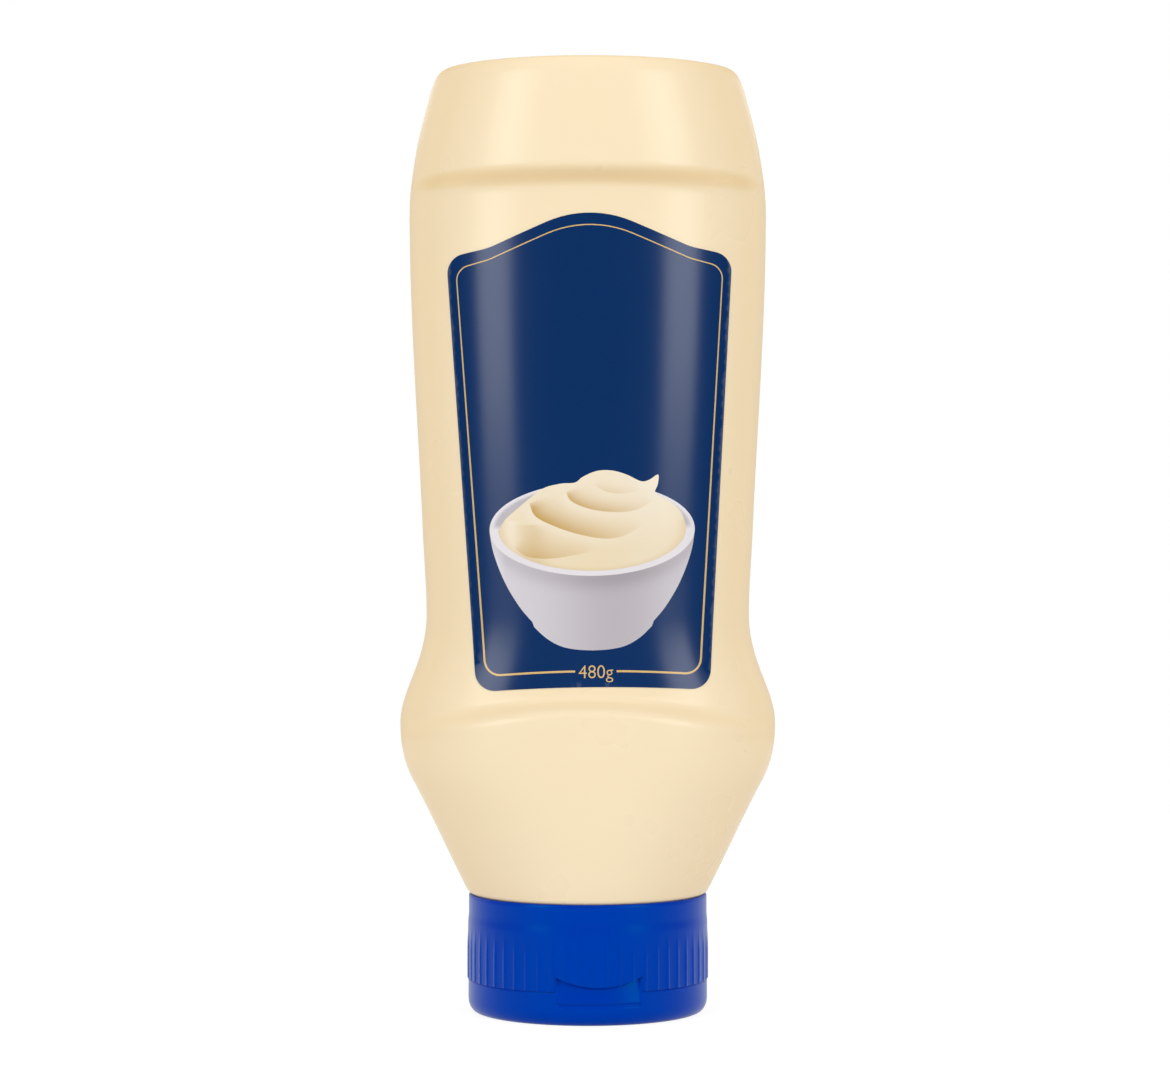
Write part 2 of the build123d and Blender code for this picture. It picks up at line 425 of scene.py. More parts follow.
@dataclass(frozen=True)
class MouldedPlastic(Finish):
    """Blow-moulded or injection-moulded plastic.

    Attributes:
        light: Colour where the plastic is thin or clean.
        deep: Colour in the faint flow marks.
        gloss: Lowest and highest roughness.
        relief: Depth of the surface relief in metres.
        specular: Strength of the plain reflection.
        shine: Colour of the plain reflection.
        painted_shade: Painted shade, mixed into the colour at grazing edges and along a crease that the mesh
            marks.
        matte_rise: How much rougher the plastic is where the mesh says matte.
    """

    light: Colour = (0.8, 0.8, 0.8)
    deep: Colour = (0.7, 0.7, 0.7)
    gloss: tuple[float, float] = (0.3, 0.4)
    relief: float = 0.00001
    specular: float = 0.5
    shine: Colour = WHITE
    painted_shade: Colour = (0.6, 0.6, 0.6)
    matte_rise: float = 0.45

    def dress(self, desk: NodeDesk) -> None:
        """Fill the material's node tree.

        Args:
            desk: Desk of the material's tree.
        """
        skin = desk.add("ShaderNodeGroup", {"node_tree": SharedEffects.moulded_skin()})
        skin.inputs["Gloss Low"].default_value = self.gloss[0]
        skin.inputs["Gloss High"].default_value = self.gloss[1]
        tint = desk.add("ShaderNodeMix", {"data_type": "RGBA"})
        desk.feed(tint.inputs["Factor"], skin.outputs["Cloud"])
        desk.feed(tint.inputs[6], self.light)
        desk.feed(tint.inputs[7], self.deep)
        # Painted shade: the colour darkens and deepens at grazing edges and along a crease that the mesh
        # marks.
        slant = desk.add("ShaderNodeLayerWeight", Blend=0.5).outputs["Facing"]
        crease_shade = desk.add("ShaderNodeAttribute", {"attribute_name": "crease_shade"}).outputs["Fac"]
        wall = desk.add("ShaderNodeMix", {"data_type": "RGBA"})
        desk.feed(wall.inputs["Factor"], desk.math("MAXIMUM", desk.math("POWER", slant, 2.0), crease_shade))
        desk.feed(wall.inputs[6], tint.outputs[2])
        desk.feed(wall.inputs[7], self.painted_shade)
        relief = desk.add("ShaderNodeBump", Height=skin.outputs["Height"], Distance=self.relief)
        matte = desk.add("ShaderNodeAttribute", {"attribute_name": "matte"}).outputs["Fac"]
        blunt = desk.math("ADD", skin.outputs["Roughness"], desk.math("MULTIPLY", matte, self.matte_rise))
        shader = desk.add("ShaderNodeBsdfPrincipled", Roughness=blunt)
        desk.feed(shader.inputs["Base Color"], wall.outputs[2])
        desk.feed(shader.inputs["Normal"], relief.outputs["Normal"])
        desk.feed(shader.inputs["Specular Tint"], self.shine)
        shader.inputs["Specular IOR Level"].default_value = self.specular
        desk.add("ShaderNodeOutputMaterial", Surface=shader.outputs["BSDF"])


@dataclass(frozen=True)
class PrintedFilm(Finish):
    """Ink on glossy film, in one colour or in the colours stored on the mesh.

    Attributes:
        ink: Colour of a plain field.
        shade: Colour of the ink's faint speckle.
        gloss: Lowest and highest roughness.
        specular: Strength of the plain reflection.
        painted: Name of the mesh colours to print instead of one ink.
        dulling: How much of the ink's speckle darkens the mesh colours.
    """

    ink: Colour = (0.1, 0.1, 0.1)
    shade: Colour = (0.1, 0.1, 0.1)
    gloss: tuple[float, float] = (0.25, 0.32)
    specular: float = 0.5
    painted: str = ""
    dulling: float = 0.06

    def dress(self, desk: NodeDesk) -> None:
        """Fill the material's node tree.

        Args:
            desk: Desk of the material's tree.
        """
        ink = desk.add("ShaderNodeGroup", {"node_tree": SharedEffects.ink_speckle()})
        ink.inputs["Gloss Low"].default_value = self.gloss[0]
        ink.inputs["Gloss High"].default_value = self.gloss[1]
        tint = desk.add("ShaderNodeMix", {"data_type": "RGBA"})
        desk.feed(tint.inputs["Factor"], ink.outputs["Speckle"])
        desk.feed(tint.inputs[6], self.ink)
        desk.feed(tint.inputs[7], self.shade)
        colour = tint.outputs[2]
        if self.painted:
            paint = desk.add("ShaderNodeVertexColor", {"layer_name": self.painted})
            dull = desk.add("ShaderNodeMix", {"data_type": "RGBA", "blend_type": "MULTIPLY"})
            dull.inputs["Factor"].default_value = self.dulling
            desk.feed(dull.inputs[6], paint.outputs["Color"])
            desk.feed(dull.inputs[7], colour)
            colour = dull.outputs[2]
        shader = desk.add("ShaderNodeBsdfPrincipled", Base_Color=colour, Roughness=ink.outputs["Roughness"])
        shader.inputs["Specular IOR Level"].default_value = self.specular
        desk.add("ShaderNodeOutputMaterial", Surface=shader.outputs["BSDF"])


CREAM = MouldedPlastic(
    "bottle_cream", "cream_plastic",
    light=screen(253, 236, 204), deep=screen(251, 233, 198),
    # The last colour is painted shade for grazing edges and the upper crease.
    gloss=(0.25, 0.31), relief=0.000012, specular=0.38, painted_shade=screen(243, 211, 151),
)
CAP_BLUE = MouldedPlastic(
    "cap_blue", "blue_plastic",
    # The third colour on the next line is painted shade for grazing edges.
    light=screen(0, 55, 186), deep=screen(0, 51, 180), painted_shade=screen(0, 60, 176),
    gloss=(0.26, 0.32), relief=0.000008, specular=0.22, shine=(0.0, 1.0, 0.45),
)
LABEL_NAVY = PrintedFilm(
    "label_navy_ink", "label_film",
    ink=screen(0, 50, 108), shade=screen(0, 46, 100), gloss=(0.18, 0.22), specular=0.5,
)
LABEL_GOLD = PrintedFilm(
    "label_gold_ink", "label_film",
    ink=screen(236, 204, 142), shade=screen(212, 176, 112), gloss=(0.2, 0.26), specular=0.4,
)
LABEL_PICTURE = PrintedFilm(
    "label_picture_ink", "label_film",
    ink=(0.95, 0.95, 0.95), shade=(0.7, 0.7, 0.7), gloss=(0.15, 0.19), specular=0.4, painted="print",
)


# ------------------------------------------------------------------- bottle
@dataclass
class BottleSkin:
    """The bottle's outer skin as a formula.

    A half is measured along X and a half depth along Y. A rise is measured up from the neck and a drop
    down from the top. A droop says how much lower a crease lies at the sides.

    Attributes:
        neck_z: Height where the bottle meets the cap.
        top_z: Height of the bottle's own base, which is on top.
        side: Half width by height.
        low_front: Half depth of the bulge below the lower crease.
        panel_front: Half depth of the label panels.
        dome_front: Half depth above the upper crease.
    """

    neck_z: float
    top_z: float
    neck_half: float = 26.0
    bulge_half: float = 41.06
    waist_half: float = 35.3
    shoulder_half: float = 39.05
    top_half: float = 33.3
    top_half_depth: float = 28.8
    dome_half_depth: float = 30.8
    panel_top_half_depth: float = 27.2
    panel_foot_half_depth: float = 25.3
    bulge_half_depth: float = 29.5
    bulge_rise: float = 37.3
    upper_crease_drop: float = 25.4
    upper_crease_height: float = 6.4
    upper_crease_droop: float = 0.8
    lower_crease_rise: float = 42.4
    lower_crease_height: float = 5.6
    lower_crease_droop: float = 7.0
    top_round_height: float = 4.0
    top_round_inset: float = 1.55
    side: list[Station] = field(init=False)
    low_front: list[Station] = field(init=False)
    panel_front: list[Station] = field(init=False)
    dome_front: list[Station] = field(init=False)

    def __post_init__(self) -> None:
        """Lay out the outlines from the sizes."""
        neck, top = self.neck_z, self.top_z
        self.upper_crease_z = top - self.upper_crease_drop
        self.lower_crease_z = neck + self.lower_crease_rise
        self.side = [
            (neck, self.neck_half, 0.522),
            (neck + 24.6, 38.2, 0.539),
            (neck + self.bulge_rise, self.bulge_half, 0.0),
            (neck + 49.5, 37.6, -0.37),
            (neck + 61.0, self.waist_half, 0.0),
            (neck + 79.5, 36.15, 0.043),
            (top - 30.6, self.shoulder_half, 0.0),
            (top - 18.3, 37.75, -0.161),
            (top, self.top_half, -0.24),
        ]
        self.low_front = [
            (neck, self.neck_half, 0.16),
            (neck + self.bulge_rise, self.bulge_half_depth, 0.0),
            (self.lower_crease_z + self.bulge_rise, self.bulge_half_depth, 0.0),
        ]
        self.panel_front = [
            (neck, self.panel_foot_half_depth, 0.0),
            (self.lower_crease_z, self.panel_foot_half_depth, 0.0),
            (self.upper_crease_z, self.panel_top_half_depth, 0.02),
            (top, self.panel_top_half_depth, 0.0),
        ]
        self.dome_front = [
            (neck, self.dome_half_depth, 0.0),
            (self.upper_crease_z, self.dome_half_depth, 0.0),
            (top, self.top_half_depth, -0.13),
        ]

    def half_depth(self, z: float, sideways: float) -> float:
        """Give the half depth at a height.

        Args:
            z: Height.
            sideways: 0 at the front, 1 at the side.

        Returns:
            The half depth of the section that passes there.
        """
        low_z = z + self.lower_crease_droop * sideways
        high_z = z + self.upper_crease_droop * sideways
        low = smooth_step(low_z, self.lower_crease_z, self.lower_crease_height)
        high = smooth_step(high_z, self.upper_crease_z, self.upper_crease_height)
        below = along(self.low_front, z)
        panel = along(self.panel_front, z)
        above = along(self.dome_front, z)
        return below + (panel - below) * low + (above - panel) * high

    def drawn_in(self, z: float) -> float:
        """Give how far the rounded top edge has drawn in at a height."""
        t = max((z - self.top_z) / self.top_round_height + 1.0, 0.0)
        return self.top_round_inset * (1 - math.sqrt(max(1 - t * t, 0.0)))

    def point(self, z: float, angle: float, lift: float = 0.0) -> Vector:
        """Give a point of the skin.

        Args:
            z: Height.
            angle: Angle from +X in degrees.
            lift: Distance outside the skin.

        Returns:
            The point in metres.
        """
        across, deep = math.cos(math.radians(angle)), math.sin(math.radians(angle))
        out = lift - self.drawn_in(z)
        x = (along(self.side, z) + out) * across
        y = (self.half_depth(z, across * across) + out) * deep
        return Vector((x, y, z)) * MM

    def over_front(self, x: float, z: float, lift: float) -> Vector:
        """Drop a point onto the front of the skin.

        Args:
            x: Distance to the right of the axis.
            z: Height.
            lift: Distance outside the skin.

        Returns:
            The point in metres.
        """
        across = min(max(x / (along(self.side, z) + lift), -1.0), 1.0)
        depth = self.half_depth(z, across * across) + lift
        return Vector((x, -depth * math.sqrt(1 - across * across), z)) * MM


@dataclass
class Bottle:
    """The blow-moulded bottle, from the neck in the cap to the dished base on top.

    Attributes:
        skin: The outer skin.
        turn_step: Spacing of the columns in degrees.
        seam_width: Width of the mould seam at both sides.
        seam_height: How far the seam stands proud.
        coarse: Spacing of the rows where the skin is even.
        fine: Spacing of the rows where it bends fast.
        neck_draw: How far the skin is drawn in where it enters the cap.
        neck_draw_height: Height over which it is drawn in.
        neck_inset: Inset of the flat foot's inner ring.
        dish_margin: Flat rim round the dish.
        dish_round: Half the width of the dish's rounded step.
        dish_depth: Depth of the dish.
        crease_share: Half width of the band of painted shade against the upper crease's height.
        crease_shade_strength: Strength of the painted shade in the crease.
        matte_from: How upright a surface of the base has to be to turn matte.
        matte_over: Rise in uprightness over which it turns fully matte.
    """

    skin: BottleSkin
    turn_step: float = 2.5
    seam_width: float = 0.5
    seam_height: float = 0.12
    coarse: float = 2.0
    fine: float = 0.5
    neck_draw: float = 0.5
    neck_draw_height: float = 0.6
    neck_inset: float = 4.0
    dish_margin: float = 5.4
    dish_round: float = 1.6
    dish_depth: float = 1.7
    crease_share: float = 0.36
    crease_shade_strength: float = 0.6
    matte_from: float = 0.3
    matte_over: float = 0.5

    def angles(self) -> list[float]:
        """Space the columns, with extra ones over the mould seam.

        Returns:
            The columns' angles.
        """
        steps = int(360 / self.turn_step)
        turns = {round(i * self.turn_step, 4) for i in range(steps)}
        half = math.degrees(self.seam_width / 2 / self.skin.waist_half)
        for seam in (0.0, 180.0):
            turns |= {(seam + share * half) % 360 for share in (-1.5, -1.0, -0.5, 0.5, 1.0, 1.5)}
        return sorted(turns)

    def seam(self, angle: float) -> float:
        """Shape the mould seam.

        Args:
            angle: Angle from +X in degrees.

        Returns:
            How far the seam stands proud there.
        """
        half = math.degrees(self.seam_width / 2 / self.skin.waist_half)
        away = min(abs((angle + 90) % 180 - 90) / half, 1.0)
        return self.seam_height * 0.5 * (1 + math.cos(math.pi * away))

    def heights(self) -> list[float]:
        """Space the rows, close together where the skin bends fast.

        Returns:
            The rows' heights.
        """
        skin = self.skin
        z = skin.neck_z
        rows = []
        low = skin.lower_crease_z - skin.lower_crease_droop / 2
        low_reach = (skin.lower_crease_droop + skin.lower_crease_height) / 2 + 1
        high_reach = (skin.upper_crease_droop + skin.upper_crease_height) / 2 + 1
        while z < skin.top_z - skin.top_round_height - self.fine:
            rows.append(z)
            bends = abs(z - low) < low_reach or abs(z - skin.upper_crease_z) < high_reach
            z += self.fine if bends or z < skin.neck_z + 1 else self.coarse
        arc = [math.sin(math.radians(a)) for a in spread(0, 90, 12)]
        start = skin.top_z - skin.top_round_height
        return rows + [start + skin.top_round_height * share for share in arc]

    def column(self, angle: float) -> list[Vector]:
        """Run one column of the mesh from the neck's middle to the dish's middle.

        Args:
            angle: Angle from +X in degrees.

        Returns:
            The column's points in metres.
        """
        skin = self.skin
        seam = self.seam(angle)
        neck = skin.neck_z
        column = [Vector((0, 0, neck)) * MM, skin.point(neck, angle, -self.neck_inset)]
        for z in self.heights():
            draw = self.neck_draw * max(1 - (z - neck) / self.neck_draw_height, 0.0)
            column.append(skin.point(z, angle, seam - draw))
        for inset, drop in self.dish():
            point = skin.point(skin.top_z, angle, -inset)
            column.append(point - Vector((0, 0, drop)) * MM)
        column.append(Vector((0, 0, skin.top_z - self.dish_depth)) * MM)
        return column

    def dish(self) -> list[Point2]:
        """Shape the dish in the base.

        Returns:
            Inset and depth along the dish, from the flat rim inwards.
        """
        inner = self.dish_margin + 2 * self.dish_round
        steps = [(share * self.dish_margin, 0.0) for share in (0.3, 0.7, 0.95)]
        for share in spread(0, 1, 9):
            drop = self.dish_depth * smooth_step(share, 0.5, 1.0)
            steps.append((self.dish_margin + (inner - self.dish_margin) * share, drop))
        return steps + [(inner + 3, self.dish_depth), (inner + 10, self.dish_depth)]

    def build(self) -> bpy.types.Object:
        """Make the bottle piece, with a band of painted shade along its upper crease and its matte base
        marked.

        Returns:
            The new object.
        """
        points, faces = closed_columns([self.column(angle) for angle in self.angles()])
        piece = new_piece("bottle_skin", points, faces, CREAM, ["bottle"], sharp=50)
        heights = np.array([vertex.co.z / MM for vertex in piece.data.vertices])
        upright = np.array([vertex.normal.z for vertex in piece.data.vertices])
        # Painted shade: a band along the upper crease where the cream is drawn darker and deeper.
        band = self.skin.upper_crease_height * self.crease_share
        away = (heights - self.skin.upper_crease_z) / band
        crease_shade = piece.data.attributes.new("crease_shade", "FLOAT", "POINT")
        crease_shade.data.foreach_set("value", self.crease_shade_strength * np.clip(1 - away**2, 0.0, 1.0))
        on_base = heights > self.skin.top_z - self.skin.top_round_height
        matte = piece.data.attributes.new("matte", "FLOAT", "POINT")
        flatness = np.clip((upright - self.matte_from) / self.matte_over, 0.0, 1.0)
        matte.data.foreach_set("value", on_base * flatness)
        return piece


# ------------------------------------------------------------------- labels
def rounded(corners: Sequence[tuple[float, float, float]], arc_points: int = 12) -> list[Point2]:
    """Round the corners of a closed outline.

    Args:
        corners: Corner points with their radii, anticlockwise.
        arc_points: Points along each rounded corner.

    Returns:
        The outline's points.
    """
    outline: list[Point2] = []
    count = len(corners)
    for i, (x, y, radius) in enumerate(corners):
        here = Vector((x, y))
        before = (Vector(corners[i - 1][:2]) - here).normalized()
        after = (Vector(corners[(i + 1) % count][:2]) - here).normalized()
        half = before.angle(after) / 2
        centre = here + (before + after).normalized() * (radius / math.sin(half))
        start = here + before * (radius / math.tan(half)) - centre
        end = here + after * (radius / math.tan(half)) - centre
        sweep = start.angle_signed(end)
        first = math.atan2(start.y, start.x)
        for share in spread(0, 1, arc_points):
            turn = first - sweep * share
            outline.append((centre.x + radius * math.cos(turn), centre.y + radius * math.sin(turn)))
    return outline


def fine_outline(outline: Sequence[Point2], step: float) -> list[Point2]:
    """Add points to a closed outline.

    Args:
        outline: Closed outline.
        step: Roughly the longest side that is left.

    Returns:
        The finer outline.
    """
    fine: list[Point2] = []
    for start, end in zip(outline, [*outline[1:], outline[0]]):
        parts = max(int(math.dist(start, end) / step), 1)
        for k in range(parts):
            share = k / parts
            fine.append((start[0] + (end[0] - start[0]) * share, start[1] + (end[1] - start[1]) * share))
    return fine


def smooth_line(points: Sequence[Point2], parts: int) -> list[Point2]:
    """Run a smooth curve through points.

    Args:
        points: Points on the curve, from one end to the other.
        parts: Points made for each given one.

    Returns:
        Points along the curve.
    """
    last = len(points) - 1
    curve: list[Point2] = []
    for i in range(last):
        near = [min(max(i + shift, 0), last) for shift in (-1, 0, 1, 2)]
        p0, p1, p2, p3 = (np.array(points[n]) for n in near)
        for k in range(parts):
            t = k / parts
            bend = 2 * p1 + (p2 - p0) * t + (2 * p0 - 5 * p1 + 4 * p2 - p3) * t * t
            spot = 0.5 * (bend + (3 * p1 - p0 - 3 * p2 + p3) * t**3)
            curve.append((float(spot[0]), float(spot[1])))
    return [*curve, tuple(points[-1])]


@dataclass
class LabelPlace:
    """Where a label lies on the skin.

    Attributes:
        skin: The bottle's skin.
        side: The side that the label faces.
        middle_z: Height that the label leans about.
        shift: How far the label sits off the middle.
        lean: Lean of the label in degrees.
    """

    skin: BottleSkin
    side: Side
    middle_z: float
    shift: float = 0.7
    lean: float = 0.5

    def spot(self, u: float, v: float, lift: float) -> Vector:
        """Wrap a point of the flat label onto the skin.

        Args:
            u: Distance to the right of the label's middle line.
            v: Height before the label leans.
            lift: Distance outside the skin.

        Returns:
            The point in metres.
        """
        lean = math.radians(self.lean)
        rise = v - self.middle_z
        x = self.shift + u * math.cos(lean) - rise * math.sin(lean)
        z = self.middle_z + rise * math.cos(lean) + u * math.sin(lean)
        point = self.skin.over_front(x, z, lift)
        if self.side is Side.BACK:
            point.x, point.y = -point.x, -point.y
        return point

    def slab(
        self,
        name: str,
        outline: Sequence[Point2],
        low: float,
        high: float,
        finish: Finish,
        step: float,
        replaces: Sequence[str] = (),
        paint: Callable[[np.ndarray], np.ndarray] | None = None,
        creases: Sequence[Sequence[Point2]] = (),
    ) -> bpy.types.Object:
        """Make a thin closed patch with a given outline on the skin.

        Args:
            name: Piece name.
            outline: Closed outline on the flat label.
            low: Distance of its underside from the skin.
            high: Distance of its face from the skin.
            finish: Material of the patch.
            step: Spacing of the points inside the outline.
            replaces: CAD nodes that the patch stands for.
            paint: Gives a linear colour for each flat point.
            creases: Lines inside the outline that the triangles keep to.

        Returns:
            The new object.
        """
        flat, triangles, rim = self.fill(outline, step, creases)
        count = len(flat)
        points = [self.spot(u, v, high) for u, v in flat] + [self.spot(u, v, low) for u, v in flat]
        faces = [list(t) for t in triangles] + [[k + count for k in reversed(t)] for t in triangles]
        faces += [[a, b, b + count, a + count] for a, b in zip(rim, rim[1:] + rim[:1])]
        piece = new_piece(name, points, faces, finish, replaces, sharp=60)
        if paint:
            shades = paint(np.array(flat))
            self.store_paint(piece, points, np.concatenate([shades, shades]))
        return piece

    @staticmethod
    def store_paint(piece: bpy.types.Object, points: Sequence[Vector], shades: np.ndarray) -> None:
        """Store the print's colours on the mesh, matched by place.

        Args:
            piece: Object to paint.
            points: Places that have a colour, in metres.
            shades: Linear colour of each place.
        """
        known = {tuple(round(c, 7) for c in p): shade for p, shade in zip(points, shades)}
        layer = piece.data.color_attributes.new("print", "FLOAT_COLOR", "POINT")
        for vertex, cell in zip(piece.data.vertices, layer.data):
            shade = known.get(tuple(round(c, 7) for c in vertex.co), shades[0])
            cell.color = (*[float(c) for c in shade], 1.0)

    @staticmethod
    def fill(
        outline: Sequence[Point2], step: float, creases: Sequence[Sequence[Point2]]
    ) -> tuple[list[Point2], list, list[int]]:
        """Fill an outline with even triangles.

        Args:
            outline: Closed outline.
            step: Spacing of the points inside.
            creases: Lines inside the outline that the triangles keep to.

        Returns:
            Flat points, triangles and the outline's point numbers in order.
        """
        edge = fine_outline(outline, step)
        ring = np.array(edge)
        low, high = ring.min(0), ring.max(0)
        inside: list[Point2] = []
        rows = np.arange(low[1] + step / 2, high[1], step * ROW_SHARE)
        for k, v in enumerate(rows):
            crossings = []
            for (u0, v0), (u1, v1) in zip(edge, edge[1:] + edge[:1]):
                if (v0 > v) != (v1 > v):
                    crossings.append(u0 + (v - v0) * (u1 - u0) / (v1 - v0))
            crossings.sort()
            for left, right in zip(crossings[::2], crossings[1::2]):
                stagger = 0.5 * (k % 2)
                start = math.ceil((left + EDGE_SHARE * step) / step + stagger) * step - stagger * step
                inside += [(float(u), float(v)) for u in np.arange(start, right - EDGE_SHARE * step, step)]
        kept = np.array([p for crease in creases for p in crease]).reshape(-1, 2)
        if len(kept):
            inside = [p for p in inside if np.hypot(*(kept - p).T).min() > CREASE_SHARE * step]
        count = len(edge)
        loop = [(i, (i + 1) % count) for i in range(count)]
        for crease in creases:
            first = len(edge) + len(inside)
            inside += crease
            loop += [(first + i, first + i + 1) for i in range(len(crease) - 1)]
        seeds = [Vector(p) for p in edge + inside]
        found = delaunay_2d_cdt(seeds, loop, [list(range(count))], 1, 1e-7)
        flat = [(p.x, p.y) for p in found[0]]
        where = {first: i for i, origin in enumerate(found[3]) for first in origin}
        return flat, found[2], [where[i] for i in range(count)]


@dataclass
class Label:
    """A film label with its gold border line.

    Attributes:
        place: Where the label lies.
        node: CAD node that the film stands for.
        foot_z: Height of the lower corners.
        peak_z: Height of the arch's peak.
        low: Distance of the undersides from the skin.
        film: Distance of the film's face from the skin.
        ink: Distance of the line's face from the skin.
        step: Spacing of the film's points.
        outline_step: Spacing along an outline.
        border_side: Margin from the film's sides to the line.
        border_foot: The same at the foot.
        border_top: The same at the top.
        corner_share: How much of a side margin a corner radius loses.
        line_top: Width of the line at the peak.
        line_foot: Width of the line at the foot.
        gap: Stretch of the foot where the line is open, or None.
    """

    place: LabelPlace
    node: str
    foot_z: float
    peak_z: float
    low: float = 0.0
    film: float = 0.12
    ink: float = 0.15
    step: float = 1.5
    outline_step: float = 1.2
    arch_rise: float = 9.1
    top_half: float = 30.7
    bottom_half: float = 25.0
    arch_half: float = 21.5
    arch_radius: float = 24.0
    hollow_radius: float = 14.0
    shoulder_fall: float = 1.6
    top_corner: float = 4.0
    bottom_corner: float = 4.6
    foot_bow: float = 1.1
    border_side: float = 2.1
    border_foot: float = 3.4
    border_top: float = 2.5
    corner_share: float = 0.45
    line_top: float = 0.22
    line_foot: float = 0.44
    gap: tuple[float, float] | None = None

    def outline(self, side: float = 0.0, foot: float = 0.0, top: float = 0.0) -> list[Point2]:
        """Give the label's outline, or one drawn in from it.

        Args:
            side: Margin at the sides.
            foot: Margin at the foot.
            top: Margin at the top.

        Returns:
            A closed outline, anticlockwise from the foot's left corner.
        """
        corner_z = self.peak_z - self.arch_rise - top
        hollow_z = corner_z + self.shoulder_fall
        slope = (self.arch_rise - self.shoulder_fall) / self.arch_half
        rounding = self.arch_radius * (math.hypot(1, slope) - 1)
        crown_z = hollow_z + self.arch_half * slope + rounding
        low, high, bow_z = self.bottom_half - side, self.top_half - side, self.foot_z + foot
        inset = side * self.corner_share
        corners = [
            (-low, bow_z, self.bottom_corner - inset),
            (low, bow_z, self.bottom_corner - inset),
            (high, corner_z, self.top_corner - inset),
            (self.arch_half, hollow_z, self.hollow_radius),
            (0.0, crown_z, self.arch_radius),
            (-self.arch_half, hollow_z, self.hollow_radius),
            (-high, corner_z, self.top_corner - inset),
        ]
        bowed = []
        for u, v in fine_outline(rounded(corners), self.outline_step):
            nearness = max((bow_z + self.bottom_corner - v) / self.bottom_corner, 0.0)
            bowed.append((u, v + self.foot_bow * (1 - min(abs(u) / low, 1.0) ** 2) * nearness))
        return bowed

    def border(self) -> bpy.types.Object:
        """Make the gold line as one thin ribbon, open where the weight stands.

        Returns:
            The new object.
        """
        middle = self.outline(self.border_side, self.border_foot, self.border_top)
        if self.gap:
            foot = self.foot_z + self.border_foot + self.foot_bow + 1
            left, right = self.gap
            middle = [p for p in middle if p[1] > foot or not left < p[0] < right]
            strides = [math.dist(here, after) for here, after in zip(middle, middle[1:] + middle[:1])]
            start = strides.index(max(strides))
            middle = middle[start + 1:] + middle[: start + 1]
            middle = [(right, middle[0][1])] + middle + [(left, middle[-1][1])]
        ribbon = self.ribbon(middle, closed=self.gap is None)
        return new_piece(f"{self.node}_border", *ribbon, LABEL_GOLD, sharp=60)

    def ribbon(self, middle: Sequence[Point2], closed: bool) -> tuple[list[Vector], list[list[int]]]:
        """Give a thin closed ribbon along a line, finer at the label's top.

        Args:
            middle: The line's middle.
            closed: Whether the line returns to its start.

        Returns:
            Points and faces.
        """
        points: list[Vector] = []
        count = len(middle)
        for i, (u, v) in enumerate(middle):
            before = middle[i - 1] if closed or i > 0 else middle[i]
            after = middle[(i + 1) % count] if closed or i < count - 1 else middle[i]
            way = Vector((after[0] - before[0], after[1] - before[1])).normalized()
            share = min(max((v - self.foot_z) / (self.peak_z - self.foot_z), 0.0), 1.0)
            half = (self.line_foot + (self.line_top - self.line_foot) * share) / 2
            for side, lift in ((-1, self.low), (-1, self.ink), (1, self.ink), (1, self.low)):
                points.append(self.place.spot(u - way.y * half * side, v + way.x * half * side, lift))
        faces = []
        for i in range(count if closed else count - 1):
            j = (i + 1) % count
            for k in range(4):
                faces.append([4 * i + k, 4 * i + (k + 1) % 4, 4 * j + (k + 1) % 4, 4 * j + k])
        if not closed:
            faces += [[0, 1, 2, 3], [4 * count - 1, 4 * count - 2, 4 * count - 3, 4 * count - 4]]
        return points, faces

    def build(self) -> None:
        """Make the film and its border line."""
        name = f"{self.node}_film"
        self.place.slab(name, self.outline(), self.low, self.film, LABEL_NAVY, self.step, [self.node])
        self.border()


@dataclass
class WeightMark:
    """The plain net weight at the label's foot.

    Attributes:
        place: Where the label lies.
        foot_z: Height of the line that the text stands on.
        text: The weight.
        middle: Distance of the text's middle to the right of the label's.
        digit_height: Height of a digit.
        digit_share: Height of a digit against the font's size.
        squeeze: Width of the text against the font's own.
        thinning: How much thinner its strokes are, against the height of a digit.
        low: Distance of its underside from the skin.
        high: Distance of its face from the skin.
    """

    place: LabelPlace
    foot_z: float
    text: str = "480g"
    middle: float = 0.6
    digit_height: float = 2.9
    digit_share: float = 0.72
    squeeze: float = 0.96
    thinning: float = 0.012
    low: float = 0.08
    high: float = 0.16

    def build(self) -> bpy.types.Object:
        """Make the raised print of the weight.

        Returns:
            The new object.
        """
        curve = bpy.data.curves.new("weight", "FONT")
        curve.body = self.text
        curve.align_x = "CENTER"
        curve.size = self.digit_height / self.digit_share
        curve.offset = -self.thinning * self.digit_height
        curve.extrude = (self.high - self.low) / 2
        curve.resolution_u = 4
        holder = bpy.data.objects.new("weight", curve)
        bpy.context.scene.collection.objects.link(holder)
        bpy.context.view_layer.update()
        graph = bpy.context.evaluated_depsgraph_get()
        mesh = bpy.data.meshes.new_from_object(holder.evaluated_get(graph))
        bpy.data.objects.remove(holder)
        middle_lift = (self.low + self.high) / 2
        points = []
        for x, y, z in (vertex.co for vertex in mesh.vertices):
            points.append(self.place.spot(self.middle + x * self.squeeze, self.foot_z + y, middle_lift + z))
        faces = [list(face.vertices) for face in mesh.polygons]
        bpy.data.meshes.remove(mesh)
        return new_piece("weight_mark", points, faces, LABEL_GOLD, sharp=40)


